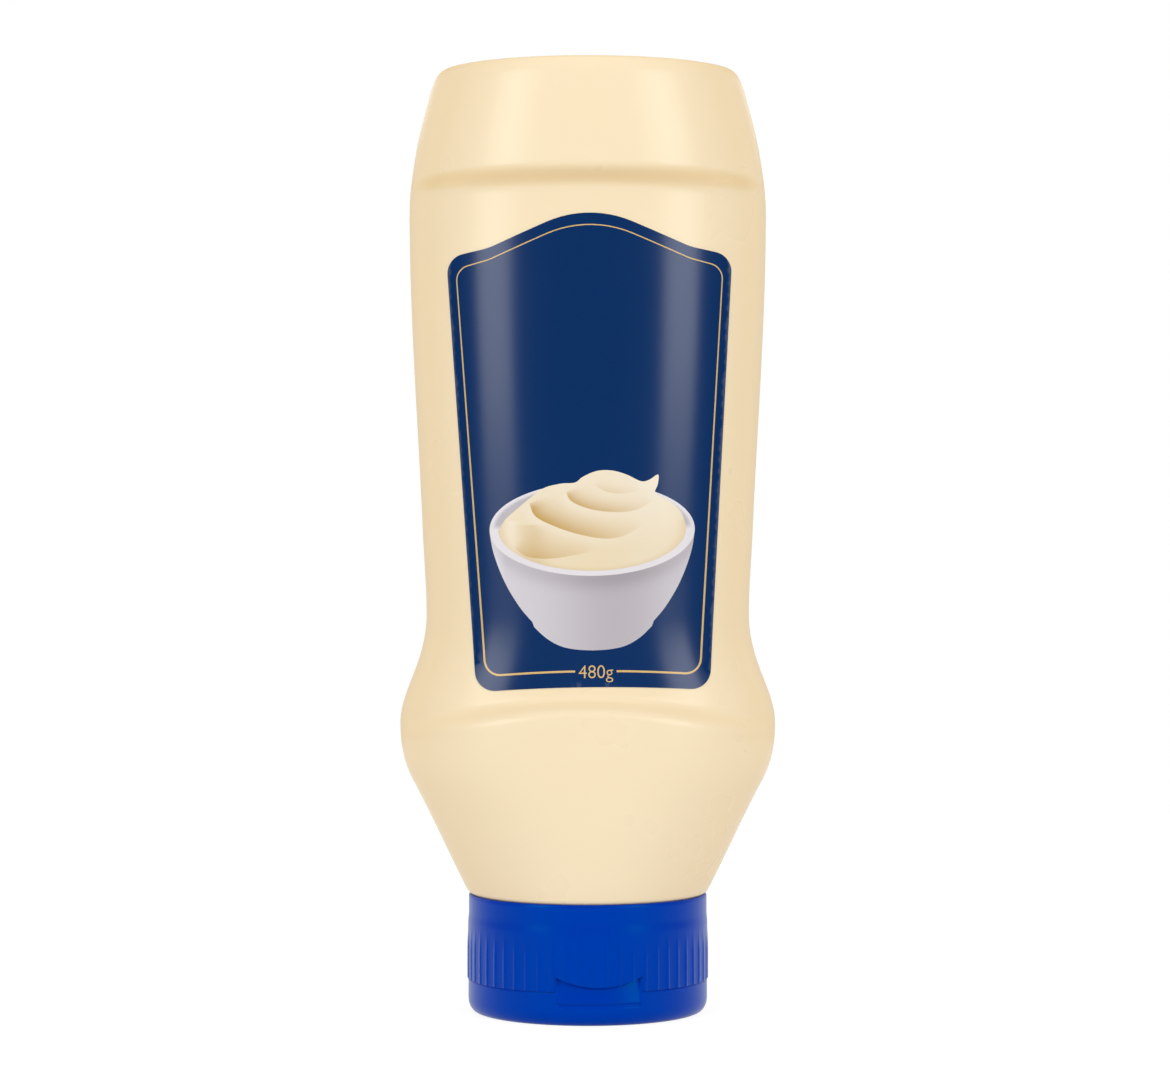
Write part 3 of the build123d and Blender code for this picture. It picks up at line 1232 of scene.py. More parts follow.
@dataclass(frozen=True)
class Fold:
    """One fold of the pictured cream: a crisp lower edge with a soft shadow above it.

    Attributes:
        path: Points that the edge runs through, from left to right.
        depth: Strength of the shadow.
        reach: How far the shadow spreads above the edge.
        light: Strength of the light below the edge.
        peak: Where along the edge the shadow is deepest, from 0 to 1.
    """

    path: tuple[Point2, ...]
    depth: float
    reach: float
    light: float = 0.3
    peak: float = 0.35

    def edge(self, shift: float = 0.0) -> list[Point2]:
        """Run a smooth line along the fold.

        Args:
            shift: How far the line lies above the fold.

        Returns:
            Points along the line.
        """
        curve = np.array(smooth_line(self.path, 12))
        run = np.gradient(curve, axis=0)
        run /= np.hypot(*run.T)[:, None]
        line = curve + np.stack([-run[:, 1], run[:, 0]], axis=1) * shift
        return [(float(u), float(v)) for u, v in line]

    def strength(self, share: np.ndarray) -> np.ndarray:
        """Fade the fold out at both ends.

        Args:
            share: Places along the edge, from 0 to 1.

        Returns:
            The fold's strength at each place.
        """
        rise = np.clip(share / self.peak, 0, 1)
        fall = np.clip((1 - share) / (1 - self.peak), 0, 1)
        return np.sin(rise * np.pi / 2) ** 0.7 * np.sin(fall * np.pi / 2)


@dataclass(frozen=True)
class Touch:
    """A soft stroke of shade or light across a picture.

    Attributes:
        middle: Where the stroke is strongest.
        width: How far it reaches on both sides.
        strength: Its strength in the middle.
    """

    middle: float
    width: float
    strength: float = 1.0

    def over(self, values: np.ndarray) -> np.ndarray:
        """Give the stroke's strength at each value."""
        return self.strength * np.exp(-(((values - self.middle) / self.width) ** 2))


@dataclass
class BowlPicture:
    """A plain printed picture: a white bowl with a swirl of cream.

    Attributes:
        place: Where the label lies.
        centre_u: Distance of the bowl's middle to the right of the label's.
        rim_z: Height of the rim's middle.
        rim_half: Half the rim's width.
        rim_dip: Half the rim's height as it is drawn.
        inner_half: Half the width of the cream inside the rim.
        inner_dip: Half its height.
        base_z: Height of the bowl's foot.
        low: Distance of the undersides from the skin.
        bowl_lift: Distance of the bowl's face from the skin.
        rim_lift: The same for the rim.
        cream_lift: The same for the cream.
        step: Spacing of the points in bowl and rim.
        cream_step: Spacing of the points in the cream.
        crease_half: Half the width of the crisp edge along a fold.
        wall_shade: Shade round the bowl's wall, across its width.
        under_rim: Shade on the wall below the rim.
        base_shade: Shade all over the bowl.
        left_gleam: Reflected light at the bowl's left edge, at its strongest.
        right_light: Light on the cream's right side.
        left_light: Light along the cream's left edge.
        left_shadow: Shadow beside that light.
        fold_gleam: Light just below a fold.
        contact: Shadow where the cream meets the rim.
    """

    place: LabelPlace
    centre_u: float = 0.1
    rim_z: float = 105.5
    rim_half: float = 21.9
    rim_dip: float = 9.9
    inner_half: float = 20.0
    inner_dip: float = 8.8
    base_z: float = 79.8
    low: float = 0.06
    bowl_lift: float = 0.14
    rim_lift: float = 0.155
    cream_lift: float = 0.17
    step: float = 0.5
    cream_step: float = 0.34
    crease_half: float = 0.05
    wall_shade: Touch = Touch(0.22, 0.62, 0.46)
    under_rim: Touch = Touch(0.6, 2.4, 0.3)
    base_shade: float = 0.22
    left_gleam: float = 0.3
    right_light: Touch = Touch(0.62, 0.3, 0.25)
    left_light: Touch = Touch(-0.86, 0.07, 0.5)
    left_shadow: Touch = Touch(-0.62, 0.14, 0.3)
    fold_gleam: Touch = Touch(0.4, 1.5)
    contact: float = 0.25
    white: Colour = screen(232, 231, 241)
    grey: Colour = screen(171, 165, 175)
    rim_white: Colour = screen(236, 234, 242)
    inside_grey: Colour = screen(192, 190, 200)
    cream: Colour = screen(241, 224, 190)
    cream_light: Colour = screen(252, 244, 229)
    cream_shadow: Colour = screen(206, 168, 98)

    def bowl_outline(self) -> list[Point2]:
        """Draw the bowl: round rim, curved wall and small foot.

        Returns:
            A closed outline.
        """
        wall = [(21.9, 105.0), (21.2, 101.0), (19.7, 96.6), (17.8, 92.6), (15.3, 88.7), (12.9, 85.9)]
        foot = [(12.5, 84.8), (9.9, 82.4), (6.8, 80.7), (3.4, 80.0), (0.0, self.base_z)]
        right = smooth_line(wall, 6) + smooth_line(foot, 6)
        turns = spread(math.radians(1), math.radians(179), 60)
        rim = [(self.rim_half * math.cos(a), self.rim_z + self.rim_dip * math.sin(a)) for a in turns]
        left = [(-u, z) for u, z in right]
        return [(self.centre_u + u, z) for u, z in rim + left + right[-2::-1]]

    def cream_outline(self) -> list[Point2]:
        """Draw the cream: a mound with a curled tip inside the rim.

        Returns:
            A closed outline.
        """
        mound = [
            (-20.0, 105.2), (-18.6, 107.6), (-16.0, 109.9), (-13.2, 112.2), (-10.2, 114.3), (-6.6, 115.2),
            (-3.6, 115.4), (-1.9, 116.6), (1.0, 117.8), (4.2, 117.9), (7.4, 117.0), (10.4, 115.6),
            (12.2, 115.9), (14.1, 117.0), (14.0, 114.9), (13.5, 113.0), (16.4, 111.4), (18.8, 109.2),
            (20.0, 106.4),
        ]
        turns = spread(math.radians(-1), math.radians(-179), 60)
        front = [
            (self.inner_half * math.cos(a), self.rim_z + self.inner_dip * math.sin(a)) for a in turns
        ]
        upper = smooth_line(mound, 6)
        return [(self.centre_u + u, v) for u, v in upper + front]

    def folds(self) -> list[Fold]:
        """Draw the swirl's folds.

        Returns:
            The folds, from the outer turn to the curl on top.
        """
        lower = ((-16.6, 101.8), (-14.0, 99.9), (-10.0, 99.3), (-5.0, 99.8), (0.5, 100.9))
        main = (
            (-13.2, 111.2), (-12.0, 108.4), (-8.2, 106.3), (-3.0, 104.5), (2.4, 103.5), (6.6, 104.0),
            (10.8, 106.2),
        )
        upper = ((-5.4, 113.4), (-4.2, 111.4), (-0.4, 109.8), (4.6, 109.1), (9.4, 109.5), (13.0, 111.4))
        curl = ((0.6, 114.8), (3.2, 113.4), (6.6, 113.0), (10.2, 113.6))
        return [
            Fold(lower, 0.6, 2.6, 0.2, 0.4),
            Fold(main, 1.0, 2.9, 0.5, 0.12),
            Fold(upper, 0.85, 2.0, 0.45, 0.15),
            Fold(curl, 0.3, 1.4, 0.15, 0.4),
        ]

    @staticmethod
    def mix(first: np.ndarray | Colour, second: np.ndarray | Colour, share: np.ndarray) -> np.ndarray:
        """Mix two colours.

        Args:
            first: Colour at share 0.
            second: Colour at share 1.
            share: Share of the second colour for each point.

        Returns:
            A colour for each point.
        """
        part = np.clip(share, 0, 1)[:, None]
        return np.asarray(first) * (1 - part) + np.asarray(second) * part

    def bowl_paint(self, spots: np.ndarray) -> np.ndarray:
        """Shade the bowl as a round white wall lit from the left.

        Args:
            spots: Flat points.

        Returns:
            A linear colour for each point.
        """
        across = (spots[:, 0] - self.centre_u) / self.rim_half
        rise = spots[:, 1] - self.rim_z
        below_rim = -rise - self.rim_dip * np.sqrt(np.clip(1 - across**2, 0, 1))
        shade = self.base_shade + self.wall_shade.over(across) + self.under_rim.over(below_rim)
        shade -= self.left_gleam * np.clip((-across - 0.84) / 0.1, 0, 1)
        return self.mix(self.white, self.grey, shade)

    def rim_paint(self, spots: np.ndarray) -> np.ndarray:
        """Shade the rim and the bowl's inside behind the cream.

        Args:
            spots: Flat points.

        Returns:
            A linear colour for each point.
        """
        across = (spots[:, 0] - self.centre_u) / self.inner_half
        rise = spots[:, 1] - self.rim_z
        inner = np.hypot(across, rise / self.inner_dip)
        inside = np.clip((1.07 - inner) / 0.04, 0, 1) * np.clip(rise, 0, 1)
        return self.mix(np.tile(self.rim_white, (len(spots), 1)), self.inside_grey, inside)

    def cream_paint(self, spots: np.ndarray) -> np.ndarray:
        """Shade the cream with its folds.

        Args:
            spots: Flat points.

        Returns:
            A linear colour for each point.
        """
        across = (spots[:, 0] - self.centre_u) / self.inner_half
        rise = spots[:, 1] - self.rim_z
        edge = np.hypot(across, rise / self.inner_dip)
        high = np.clip((rise + 4) / 14, 0, 1)
        lit = 0.12 + 0.5 * high + self.right_light.over(across)
        colour = self.mix(self.cream, self.cream_light, lit)
        colour = self.mix(colour, self.cream_light, self.left_light.over(across) * (rise < 2))
        colour = self.mix(colour, self.cream_shadow, self.left_shadow.over(across) * (rise < 1))
        for fold in self.folds():
            curve = np.array(fold.edge())
            gap = spots[:, None, :] - curve[None, :, :]
            distance = np.hypot(gap[..., 0], gap[..., 1])
            near = distance.argmin(1)
            away = distance[np.arange(len(spots)), near]
            run = np.gradient(curve, axis=0)[near]
            offset = spots - curve[near]
            above = run[:, 0] * offset[:, 1] - run[:, 1] * offset[:, 0] > 0
            strength = fold.strength(near / (len(curve) - 1))
            shadow = fold.depth * strength * np.exp(-((away / fold.reach) ** 1.4)) * above
            gleam = fold.light * strength * self.fold_gleam.over(away) * ~above
            colour = self.mix(colour, self.cream_shadow, shadow)
            colour = self.mix(colour, self.cream_light, gleam)
        contact = np.clip((edge - 0.9) / 0.1, 0, 1) * (rise < 2)
        return self.mix(colour, self.cream_shadow, self.contact * contact)

    def build(self) -> None:
        """Make the bowl and the cream above it."""
        turns = spread(0, 2 * math.pi, 121)[:-1]
        rim = [
            (self.centre_u + self.rim_half * math.cos(a), self.rim_z + self.rim_dip * math.sin(a))
            for a in turns
        ]
        sides = (-self.crease_half, self.crease_half)
        creases = [fold.edge(shift) for fold in self.folds() for shift in sides]
        slab = self.place.slab
        bowl = self.bowl_outline()
        slab("picture_bowl", bowl, self.low, self.bowl_lift, LABEL_PICTURE, self.step, paint=self.bowl_paint)
        slab("picture_rim", rim, self.low, self.rim_lift, LABEL_PICTURE, self.step, paint=self.rim_paint)
        slab(
            "picture_cream", self.cream_outline(), self.low, self.cream_lift, LABEL_PICTURE, self.cream_step,
            paint=self.cream_paint, creases=creases,
        )


# ---------------------------------------------------------------------- cap
@dataclass
class CapShape:
    """Sizes that the skirt, the lid and the hinge share.

    Attributes:
        top_z: Height of the collar's top.
        parting_z: Height of the line between lid and skirt.
        yaw: Turn of the cap's front about the axis in degrees.
        collar_radius: Radius of the plain collar.
        skirt_radius: Radius of the skirt between its ribs.
        lid_radius: Radius of the lid.
        tab_width: Width of the thumb tab.
        tab_horn_z: Height of the tab at its two ends.
        tab_dip_z: Height of the tab in its middle.
        tab_top_inset: How far the tab's lip leans in at the height of its ends.
        tab_lip_z: Height of the lip's lower edge.
        tab_lip_inset: How far that edge lies inside the lid's wall.
        tab_recess_z: Height of the deepest place under the lip.
        tab_recess_depth: Depth of that place.
        tab_recess_foot_z: Height where the recess runs out.
        gap: Air between skirt and lid.
        hinge_width: Width of the hinge.
        hinge_rise: Reach of the hinge above and below the parting line.
    """

    top_z: float
    parting_z: float
    yaw: float = 5.4
    collar_radius: float = 26.1
    skirt_radius: float = 26.28
    lid_radius: float = 26.2
    tab_width: float = 18.6
    tab_horn_z: float = 10.4
    tab_dip_z: float = 8.2
    tab_top_inset: float = 0.8
    tab_lip_z: float = 5.0
    tab_lip_inset: float = 0.05
    tab_recess_z: float = 4.5
    tab_recess_depth: float = 0.35
    tab_recess_foot_z: float = 3.9
    gap: float = 0.04
    hinge_width: float = 12.0
    hinge_rise: float = 2.4

    @property
    def front(self) -> float:
        """Give the angle of the cap's front in degrees."""
        return self.yaw - 90

    @property
    def tab_half_angle(self) -> float:
        """Give half the angle that the thumb tab takes."""
        return math.degrees(math.asin(self.tab_width / 2 / self.lid_radius))

    def from_front(self, angle: float) -> float:
        """Give the angle away from the cap's front, from -180 to 180."""
        return (angle - self.front + 180) % 360 - 180

    def smile_z(self, angle: float) -> float:
        """Shape the dipped line between tab and skirt.

        Args:
            angle: Angle from +X in degrees.

        Returns:
            The line's height there.
        """
        dip = self.tab_horn_z - self.tab_dip_z
        radius = ((self.tab_width / 2) ** 2 + dip**2) / (2 * dip)
        across = self.lid_radius * math.sin(math.radians(self.from_front(angle)))
        return self.tab_dip_z + radius - math.sqrt(radius**2 - min(abs(across), radius) ** 2)


@dataclass
class CapSkirt:
    """The ribbed closure round the neck.

    Attributes:
        cap: The shared sizes.
        ribs: How many ribs there would be all round.
        rib_height: How far a rib stands out.
        rib_width: Width of a rib at its foot.
        rib_full_z: Height up to which the ribs stand full.
        rib_fade_z: Height where they have run out.
        plain_half_angle: Half the stretch at the back that has no ribs, in degrees.
        inner_radius: Radius of the bore.
        bevel: Rounding of the lower edge.
        foot_ledge: Width of the flat underside beside the rounding.
        top_round: Rounding of the collar's upper edge.
        neck_in_z: Middle height of the soft step from skirt to collar.
        neck_in_height: Height of that step.
    """

    cap: CapShape
    ribs: int = 56
    rib_height: float = 0.17
    rib_width: float = 1.2
    rib_full_z: float = 13.0
    rib_fade_z: float = 20.0
    plain_half_angle: float = 14.0
    inner_radius: float = 21.5
    bevel: float = 0.12
    foot_ledge: float = 0.6
    top_round: float = 0.45
    neck_in_z: float = 20.6
    neck_in_height: float = 3.0

    def columns(self) -> list[tuple[float, bool]]:
        """Space the columns, with extra ones on the ribs and at the tab's sides.

        Returns:
            Each column's angle and whether it lies over the thumb tab.
        """
        pitch = 360 / self.ribs
        half_rib = math.degrees(self.rib_width / 2 / self.cap.skirt_radius)
        shares = (-1.0, -0.7, -0.4, -0.15, 0.15, 0.4, 0.7, 1.0)
        edge = self.cap.tab_half_angle + math.degrees(self.cap.gap / self.cap.lid_radius)
        columns = []
        for i in range(self.ribs):
            middle = (i + 0.5) * pitch - 180
            away = [middle - pitch / 2] + [middle + share * half_rib for share in shares]
            columns += [(angle, abs(angle) < edge) for angle in away]
        for side in (-edge, edge):
            columns += [(side, True), (side, False)]
        outward = sorted(columns, key=lambda c: (c[0], c[1] if c[0] < 0 else not c[1]))
        return [(self.cap.front + angle, over) for angle, over in outward]

    def rib(self, angle: float, z: float) -> float:
        """Shape the ribs.

        Args:
            angle: Angle from +X in degrees.
            z: Height.

        Returns:
            How far a rib stands out there.
        """
        away = self.cap.from_front(angle)
        pitch = 360 / self.ribs
        offset = (away % pitch) - pitch / 2
        share = abs(math.radians(offset) * self.cap.skirt_radius) / (self.rib_width / 2)
        if share >= 1 or abs(abs(away) - 180) < self.plain_half_angle:
            return 0.0
        half_way = (self.rib_full_z + self.rib_fade_z) / 2
        fade = 1 - smooth_step(z, half_way, self.rib_fade_z - self.rib_full_z)
        return self.rib_height * fade * 0.5 * (1 + math.cos(math.pi * share))

    def column(self, angle: float, over_tab: bool) -> list[Vector]:
        """Run one closed column of the skirt, from its underside round to its inside.

        Args:
            angle: Angle from +X in degrees.
            over_tab: Whether the column ends above the thumb tab.

        Returns:
            The column's points in metres.
        """
        cap = self.cap
        low = cap.smile_z(angle) + cap.gap if over_tab else cap.parting_z + cap.gap / 2
        narrowing = cap.collar_radius - cap.skirt_radius
        rows = [(z, cap.skirt_radius) for z in spread(low + self.bevel, 11.6, 6)]
        for z in spread(12.0, cap.top_z - self.top_round, 24):
            share = smooth_step(z, self.neck_in_z, self.neck_in_height)
            rows.append((z, cap.skirt_radius + narrowing * share))
        column = [polar(self.inner_radius, angle, low)]
        base = cap.skirt_radius + self.rib(angle, low) - self.bevel
        column.append(polar(base - self.foot_ledge, angle, low))
        for turn in (0, 30, 60):
            reach = self.bevel * math.sin(math.radians(turn))
            rise = self.bevel * (1 - math.cos(math.radians(turn)))
            column.append(polar(base + reach, angle, low + rise))
        column += [polar(radius + self.rib(angle, z), angle, z) for z, radius in rows]
        for turn in (30, 60, 90):
            reach = self.top_round * (1 - math.cos(math.radians(turn)))
            rise = self.top_round * (math.sin(math.radians(turn)) - 1)
            column.append(polar(cap.collar_radius - reach, angle, cap.top_z + rise))
        column.append(polar(self.inner_radius, angle, cap.top_z))
        return column + [column[0]]

    def build(self) -> bpy.types.Object:
        """Make the skirt piece.

        Returns:
            The new object.
        """
        points, faces = closed_columns([self.column(*c) for c in self.columns()])
        return new_piece("cap_skirt", points, faces, CAP_BLUE, ["cap_body"], sharp=48)


@dataclass
class FlipLid:
    """The shut lid with its rounded standing edge, thumb tab and recess.

    Attributes:
        cap: The shared sizes.
        edge_inset: Rounding of the standing edge, sideways.
        edge_height: The same rounding, upwards.
        bevel: Rounding of the edges at the parting line.
        side_ramp: Width of the slope at each side of the tab's face.
        lip_edge_height: Height over which the recess turns into the lip.
        foot_edge_height: Height over which the wall turns into the recess.
        wall: Radial thickness of the tab.
        turn_step: Spacing of the columns in degrees.
    """

    cap: CapShape
    edge_inset: float = 2.0
    edge_height: float = 3.0
    bevel: float = 0.14
    side_ramp: float = 0.6
    lip_edge_height: float = 0.7
    foot_edge_height: float = 0.8
    wall: float = 3.0
    turn_step: float = 2.0

    def columns(self) -> list[tuple[float, bool]]:
        """Space the columns, with extra ones at the tab's sides.

        Returns:
            Each column's angle and whether it lies on the thumb tab.
        """
        edge = self.cap.tab_half_angle
        turns = [i * self.turn_step - 180 for i in range(int(360 / self.turn_step))]
        columns = [(turn, abs(turn) < edge) for turn in turns if abs(abs(turn) - edge) > 0.2]
        ramp = math.degrees(self.side_ramp / self.cap.lid_radius)
        for side in (-1, 1):
            columns += [(side * (edge - ramp * share), True) for share in (0.0, 0.25, 0.5, 0.75, 1.0)]
            columns.append((side * edge, False))
        outward = sorted(columns, key=lambda c: (c[0], c[1] if c[0] < 0 else not c[1]))
        return [(self.cap.front + angle, on) for angle, on in outward]

    def recess(self, angle: float, z: float) -> float:
        """Give how far the tab's face lies inside the lid's wall.

        Args:
            angle: Angle of the place round the cap.
            z: Height.

        Returns:
            The distance, which runs out at both sides of the tab.
        """
        cap = self.cap
        low = smooth_step(z, (cap.tab_recess_foot_z + cap.tab_recess_z) / 2, self.foot_edge_height)
        high = smooth_step(z, (cap.tab_recess_z + cap.tab_lip_z) / 2, self.lip_edge_height)
        lean = (cap.tab_top_inset - cap.tab_lip_inset) / (cap.tab_horn_z - cap.tab_lip_z)
        face = cap.tab_lip_inset + lean * max(z - cap.tab_lip_z, 0.0)
        to_side = math.radians(cap.tab_half_angle - abs(cap.from_front(angle))) * cap.lid_radius
        across = smooth_step(to_side, self.side_ramp / 2, self.side_ramp)
        return across * low * (cap.tab_recess_depth * (1 - high) + face * high)

    def column(self, angle: float, on_tab: bool) -> list[Vector]:
        """Run one column of the lid from the stand's middle to the middle of its top.

        Args:
            angle: Angle from +X in degrees.
            on_tab: Whether the column runs up the thumb tab.

        Returns:
            The column's points in metres.
        """
        cap = self.cap
        top = cap.smile_z(angle) - cap.gap if on_tab else cap.parting_z - cap.gap / 2
        flat = cap.lid_radius - self.edge_inset
        profile = [(0.0, 0.0), (flat * 0.5, 0.0), (flat * 0.96, 0.0)]
        for turn in spread(0, 90, 10):
            reach = self.edge_inset * math.sin(math.radians(turn))
            rise = self.edge_height * (1 - math.cos(math.radians(turn)))
            profile.append((flat + reach, rise))
        walls = spread(cap.tab_recess_foot_z - 0.4, cap.tab_lip_z + 0.3, 22)
        walls += spread(cap.tab_lip_z + 0.6, top - self.bevel, 5)
        profile += [(cap.lid_radius - self.recess(angle, z) * on_tab, z) for z in walls]
        outer = profile[-1][0]
        for turn in (30, 60, 90):
            reach = self.bevel * (1 - math.cos(math.radians(turn)))
            rise = self.bevel * math.sin(math.radians(turn))
            profile.append((outer - reach, top - self.bevel + rise))
        inner, under = cap.lid_radius - self.wall, cap.parting_z - cap.gap / 2
        profile += [(inner, top), (inner, under), (0.0, under)]
        return [polar(radius, angle, z) for radius, z in profile]

    def build(self) -> bpy.types.Object:
        """Make the lid piece.

        Returns:
            The new object.
        """
        points, faces = closed_columns([self.column(*c) for c in self.columns()])
        return new_piece("flip_lid_shut", points, faces, CAP_BLUE, ["flip_lid"], sharp=48)


@dataclass
class HingeWeb:
    """The plain living hinge at the back.

    Attributes:
        cap: The shared sizes.
        proud: How far the hinge stands out of the lid's wall.
        thin: Depth of the groove that it bends in.
        groove: Width of that groove against half the hinge's height.
        depth: Radial depth of the piece below the wall.
    """

    cap: CapShape
    proud: float = 0.28
    thin: float = 0.35
    groove: float = 0.18
    depth: float = 1.6

    def build(self) -> bpy.types.Object:
        """Make the hinge piece.

        Returns:
            The new object.
        """
        cap = self.cap
        half = math.degrees(cap.hinge_width / 2 / cap.lid_radius)
        columns = []
        for share in spread(-1, 1, 15):
            angle = cap.front + 180 + share * half
            edge = self.proud * (1 - abs(share) ** 8)
            column = [polar(cap.lid_radius - self.depth, angle, cap.parting_z - cap.hinge_rise)]
            for rise in spread(-1, 1, 17):
                z = cap.parting_z + rise * cap.hinge_rise
                round_off = edge * (1 - abs(rise) ** 8)
                web = self.thin * math.exp(-((rise / self.groove) ** 2))
                column.append(polar(cap.lid_radius + round_off - web, angle, z))
            column.append(polar(cap.lid_radius - self.depth, angle, cap.parting_z + cap.hinge_rise))
            columns.append(column)
        tall = len(columns[0])
        points = [point for column in columns for point in column]
        faces = []
        for i in range(len(columns) - 1):
            for k in range(tall):
                n = (k + 1) % tall
                faces.append([i * tall + k, (i + 1) * tall + k, (i + 1) * tall + n, i * tall + n])
        faces += [list(range(tall)), list(range(len(points) - tall, len(points)))[::-1]]
        return new_piece("hinge_web", points, faces, CAP_BLUE, ["hinge_strip"], sharp=50)


# ------------------------------------------------------------------- studio
@dataclass
class SoftBox:
    """A rectangular studio lamp aimed at the bottle.

    Attributes:
        name: Lamp name.
        azimuth: Direction from the camera's side, positive to the right, in degrees.
        elevation: Height angle of its middle in degrees.
        distance: Distance from the bottle in metres.
        size: Width and height in metres.
        level: Brightness, where 1 shows as white.
    """

    name: str
    azimuth: float
    elevation: float
    distance: float
    size: tuple[float, float]
    level: float

    def build(self, target: Vector) -> None:
        """Place the lamp.

        Args:
            target: Point that it is aimed at, in metres.
        """
        lamp = bpy.data.lights.new(self.name, "AREA")
        lamp.shape = "RECTANGLE"
        lamp.size, lamp.size_y = self.size
        lamp.energy = self.level * math.pi * self.size[0] * self.size[1]
        holder = bpy.data.objects.new(self.name, lamp)
        turn, rise = math.radians(self.azimuth), math.radians(self.elevation)
        way = Vector((math.sin(turn) * math.cos(rise), -math.cos(turn) * math.cos(rise), math.sin(rise)))
        holder.location = target + way * self.distance
        holder.rotation_euler = (-way).to_track_quat("-Z", "Y").to_euler()
        holder.visible_camera = False
        bpy.context.scene.collection.objects.link(holder)


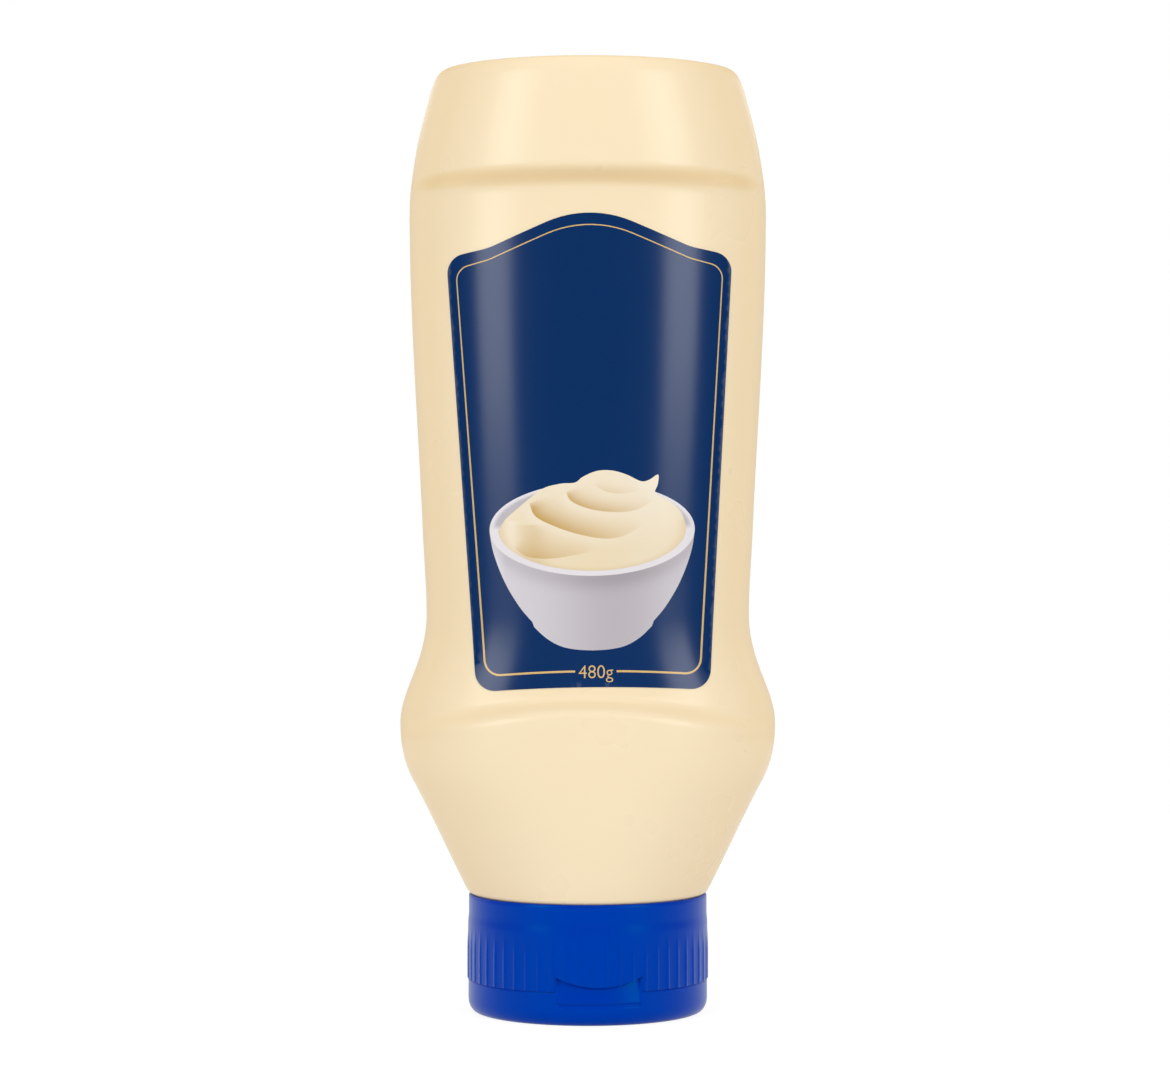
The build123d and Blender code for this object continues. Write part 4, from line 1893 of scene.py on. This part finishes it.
@dataclass
class Studio:
    """Camera, lamps, floor and world.

    Attributes:
        lens: Focal length in millimetres.
        camera_distance: Distance of the camera before the bottle's axis in metres.
        camera_x: How far it stands to the right in metres.
        camera_z: Its height in metres.
        floor_half: Half the side of the floor in metres.
        floor_grey: Colour of the floor in its own light.
        floor_glow: Strength of the glow that whitens the floor where it is seen.
        floor_glow_share: How much of the seen floor is that glow.
        fill_level: Strength of the even light on the bottle.
        fill_tint: Colour of the even light.
        room_level: Brightness of the dim room before the bottle, in its reflections.
        backdrop_edge: Where the room starts to turn into the backdrop.
        backdrop_blend: How wide that turn is.
        backdrop_level: Brightness of the backdrop in reflections.
    """

    lens: float = 99.38
    camera_distance: float = 0.71
    camera_x: float = -0.0006
    camera_z: float = 0.1032
    floor_half: float = 0.5
    floor_grey: Colour = (0.75, 0.75, 0.75)
    floor_glow: float = 1.25
    floor_glow_share: float = 0.7
    fill_level: float = 0.62
    fill_tint: Colour = (1.0, 0.955, 0.88)
    room_level: float = 0.03
    backdrop_edge: float = 0.2
    backdrop_blend: float = 0.4
    backdrop_level: float = 0.8

    def camera(self) -> None:
        """Make the camera, level and straight in front."""
        data = bpy.data.cameras.new("camera")
        data.lens = self.lens
        data.sensor_width = 36.0
        data.clip_end = 50.0
        holder = bpy.data.objects.new("camera", data)
        holder.location = (self.camera_x, -self.camera_distance, self.camera_z)
        holder.rotation_euler = (math.pi / 2, 0, 0)
        bpy.context.scene.collection.objects.link(holder)
        bpy.context.scene.camera = holder

    def lamps(self) -> None:
        """Place the soft boxes."""
        target = Vector((0, 0, (CAD_LOW.z + CAD_HIGH.z) / 2))
        boxes = [
            SoftBox("left_box", -47, 17, 1.0, (0.36, 0.62), 3.85),
            SoftBox("right_box", 47, 17, 1.0, (0.36, 0.62), 3.85),
            SoftBox("top_box", 0, 80, 0.9, (0.8, 0.5), 0.6),
            SoftBox("back_box", 180, 30, 1.1, (1.2, 0.6), 0.5),
        ]
        for box in boxes:
            box.build(target)

    def world(self) -> None:
        """Light the bottle evenly; show a white backdrop behind it and a dim room before it."""
        world = bpy.data.worlds.new("studio_world")
        world.use_nodes = True
        bpy.context.scene.world = world
        desk = NodeDesk(world.node_tree)
        path = desk.add("ShaderNodeLightPath")
        way = desk.add("ShaderNodeTexCoord").outputs["Generated"]
        deep = desk.add("ShaderNodeSeparateXYZ", Vector=way).outputs["Y"]
        backdrop = desk.add("ShaderNodeMapRange", {"interpolation_type": "SMOOTHSTEP"}, Value=deep)
        desk.feed(backdrop.inputs["From Min"], self.backdrop_edge)
        desk.feed(backdrop.inputs["From Max"], self.backdrop_edge + self.backdrop_blend)
        desk.feed(backdrop.inputs["To Min"], self.room_level)
        desk.feed(backdrop.inputs["To Max"], self.backdrop_level)
        mirrored = desk.math("MULTIPLY", path.outputs["Is Glossy Ray"], backdrop.outputs["Result"])
        seen = desk.math("MAXIMUM", path.outputs["Is Camera Ray"], path.outputs["Is Transmission Ray"])
        straight = desk.math("MAXIMUM", seen, path.outputs["Is Glossy Ray"])
        rest = desk.math("MULTIPLY", desk.math("SUBTRACT", 1.0, straight), self.fill_level)
        level = desk.math("ADD", desk.math("MAXIMUM", seen, mirrored), rest)
        tint = desk.add("ShaderNodeMix", {"data_type": "RGBA"})
        desk.feed(tint.inputs["Factor"], straight)
        desk.feed(tint.inputs[6], self.fill_tint)
        desk.feed(tint.inputs[7], WHITE)
        light = desk.add("ShaderNodeBackground", Color=tint.outputs[2], Strength=level)
        desk.add("ShaderNodeOutputWorld", Surface=light.outputs["Background"])

    def floor(self) -> None:
        """Make a pale floor that keeps a soft shadow."""
        material = bpy.data.materials.new("studio_floor")
        material.use_nodes = True
        desk = NodeDesk(material.node_tree)
        path = desk.add("ShaderNodeLightPath")
        seen = desk.math("MAXIMUM", path.outputs["Is Camera Ray"], path.outputs["Is Transmission Ray"])
        seen = desk.math("MAXIMUM", seen, path.outputs["Is Glossy Ray"])
        matt = desk.add("ShaderNodeBsdfDiffuse", Color=self.floor_grey)
        glow = desk.add("ShaderNodeEmission", Color=WHITE, Strength=self.floor_glow)
        blend = desk.add("ShaderNodeMixShader", Fac=desk.math("MULTIPLY", seen, self.floor_glow_share))
        desk.feed(blend.inputs[1], matt.outputs["BSDF"])
        desk.feed(blend.inputs[2], glow.outputs["Emission"])
        desk.add("ShaderNodeOutputMaterial", Surface=blend.outputs["Shader"])
        mesh = bpy.data.meshes.new("studio_floor")
        half = self.floor_half
        corners = [(-half, -half, 0), (half, -half, 0), (half, half, 0), (-half, half, 0)]
        mesh.from_pydata(corners, [], [(0, 1, 2, 3)])
        mesh.materials.append(material)
        floor = bpy.data.objects.new("studio_floor", mesh)
        floor.location.z = CAD_LOW.z
        bpy.context.scene.collection.objects.link(floor)

    def build(self) -> None:
        """Set up the whole studio."""
        self.camera()
        self.lamps()
        self.world()
        self.floor()
        bpy.context.scene.view_settings.view_transform = "Standard"


def write_sizes() -> None:
    """Bring the view layer up to date."""
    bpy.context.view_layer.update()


def main() -> None:
    """Build the bottle, its labels, its cap and the studio."""
    logging.basicConfig(level=logging.INFO, format="%(name)s %(message)s")
    bottle_low, bottle_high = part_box("bottle")
    skirt_low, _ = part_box("cap_body")
    skin = BottleSkin(neck_z=bottle_low.z / MM, top_z=bottle_high.z / MM)
    Bottle(skin).build()

    foot_z = skin.lower_crease_z + LABEL_FOOT_MARGIN
    peak_z = skin.upper_crease_z - LABEL_PEAK_MARGIN
    middle_z = (foot_z + peak_z) / 2
    front = LabelPlace(skin, Side.FRONT, middle_z)
    label = Label(front, "front_label", foot_z, peak_z, gap=WEIGHT_GAP)
    label.build()
    WeightMark(front, foot_z + label.border_foot + label.foot_bow - WEIGHT_DROP).build()
    BowlPicture(front).build()
    back = LabelPlace(skin, Side.BACK, middle_z)
    Label(back, "back_label", foot_z, peak_z).build()

    cap = CapShape(top_z=bottle_low.z / MM, parting_z=skirt_low.z / MM)
    for part in (CapSkirt(cap), FlipLid(cap), HingeWeb(cap)):
        part.build()
    Studio().build()
    write_sizes()


if __name__ == "__main__":
    main()
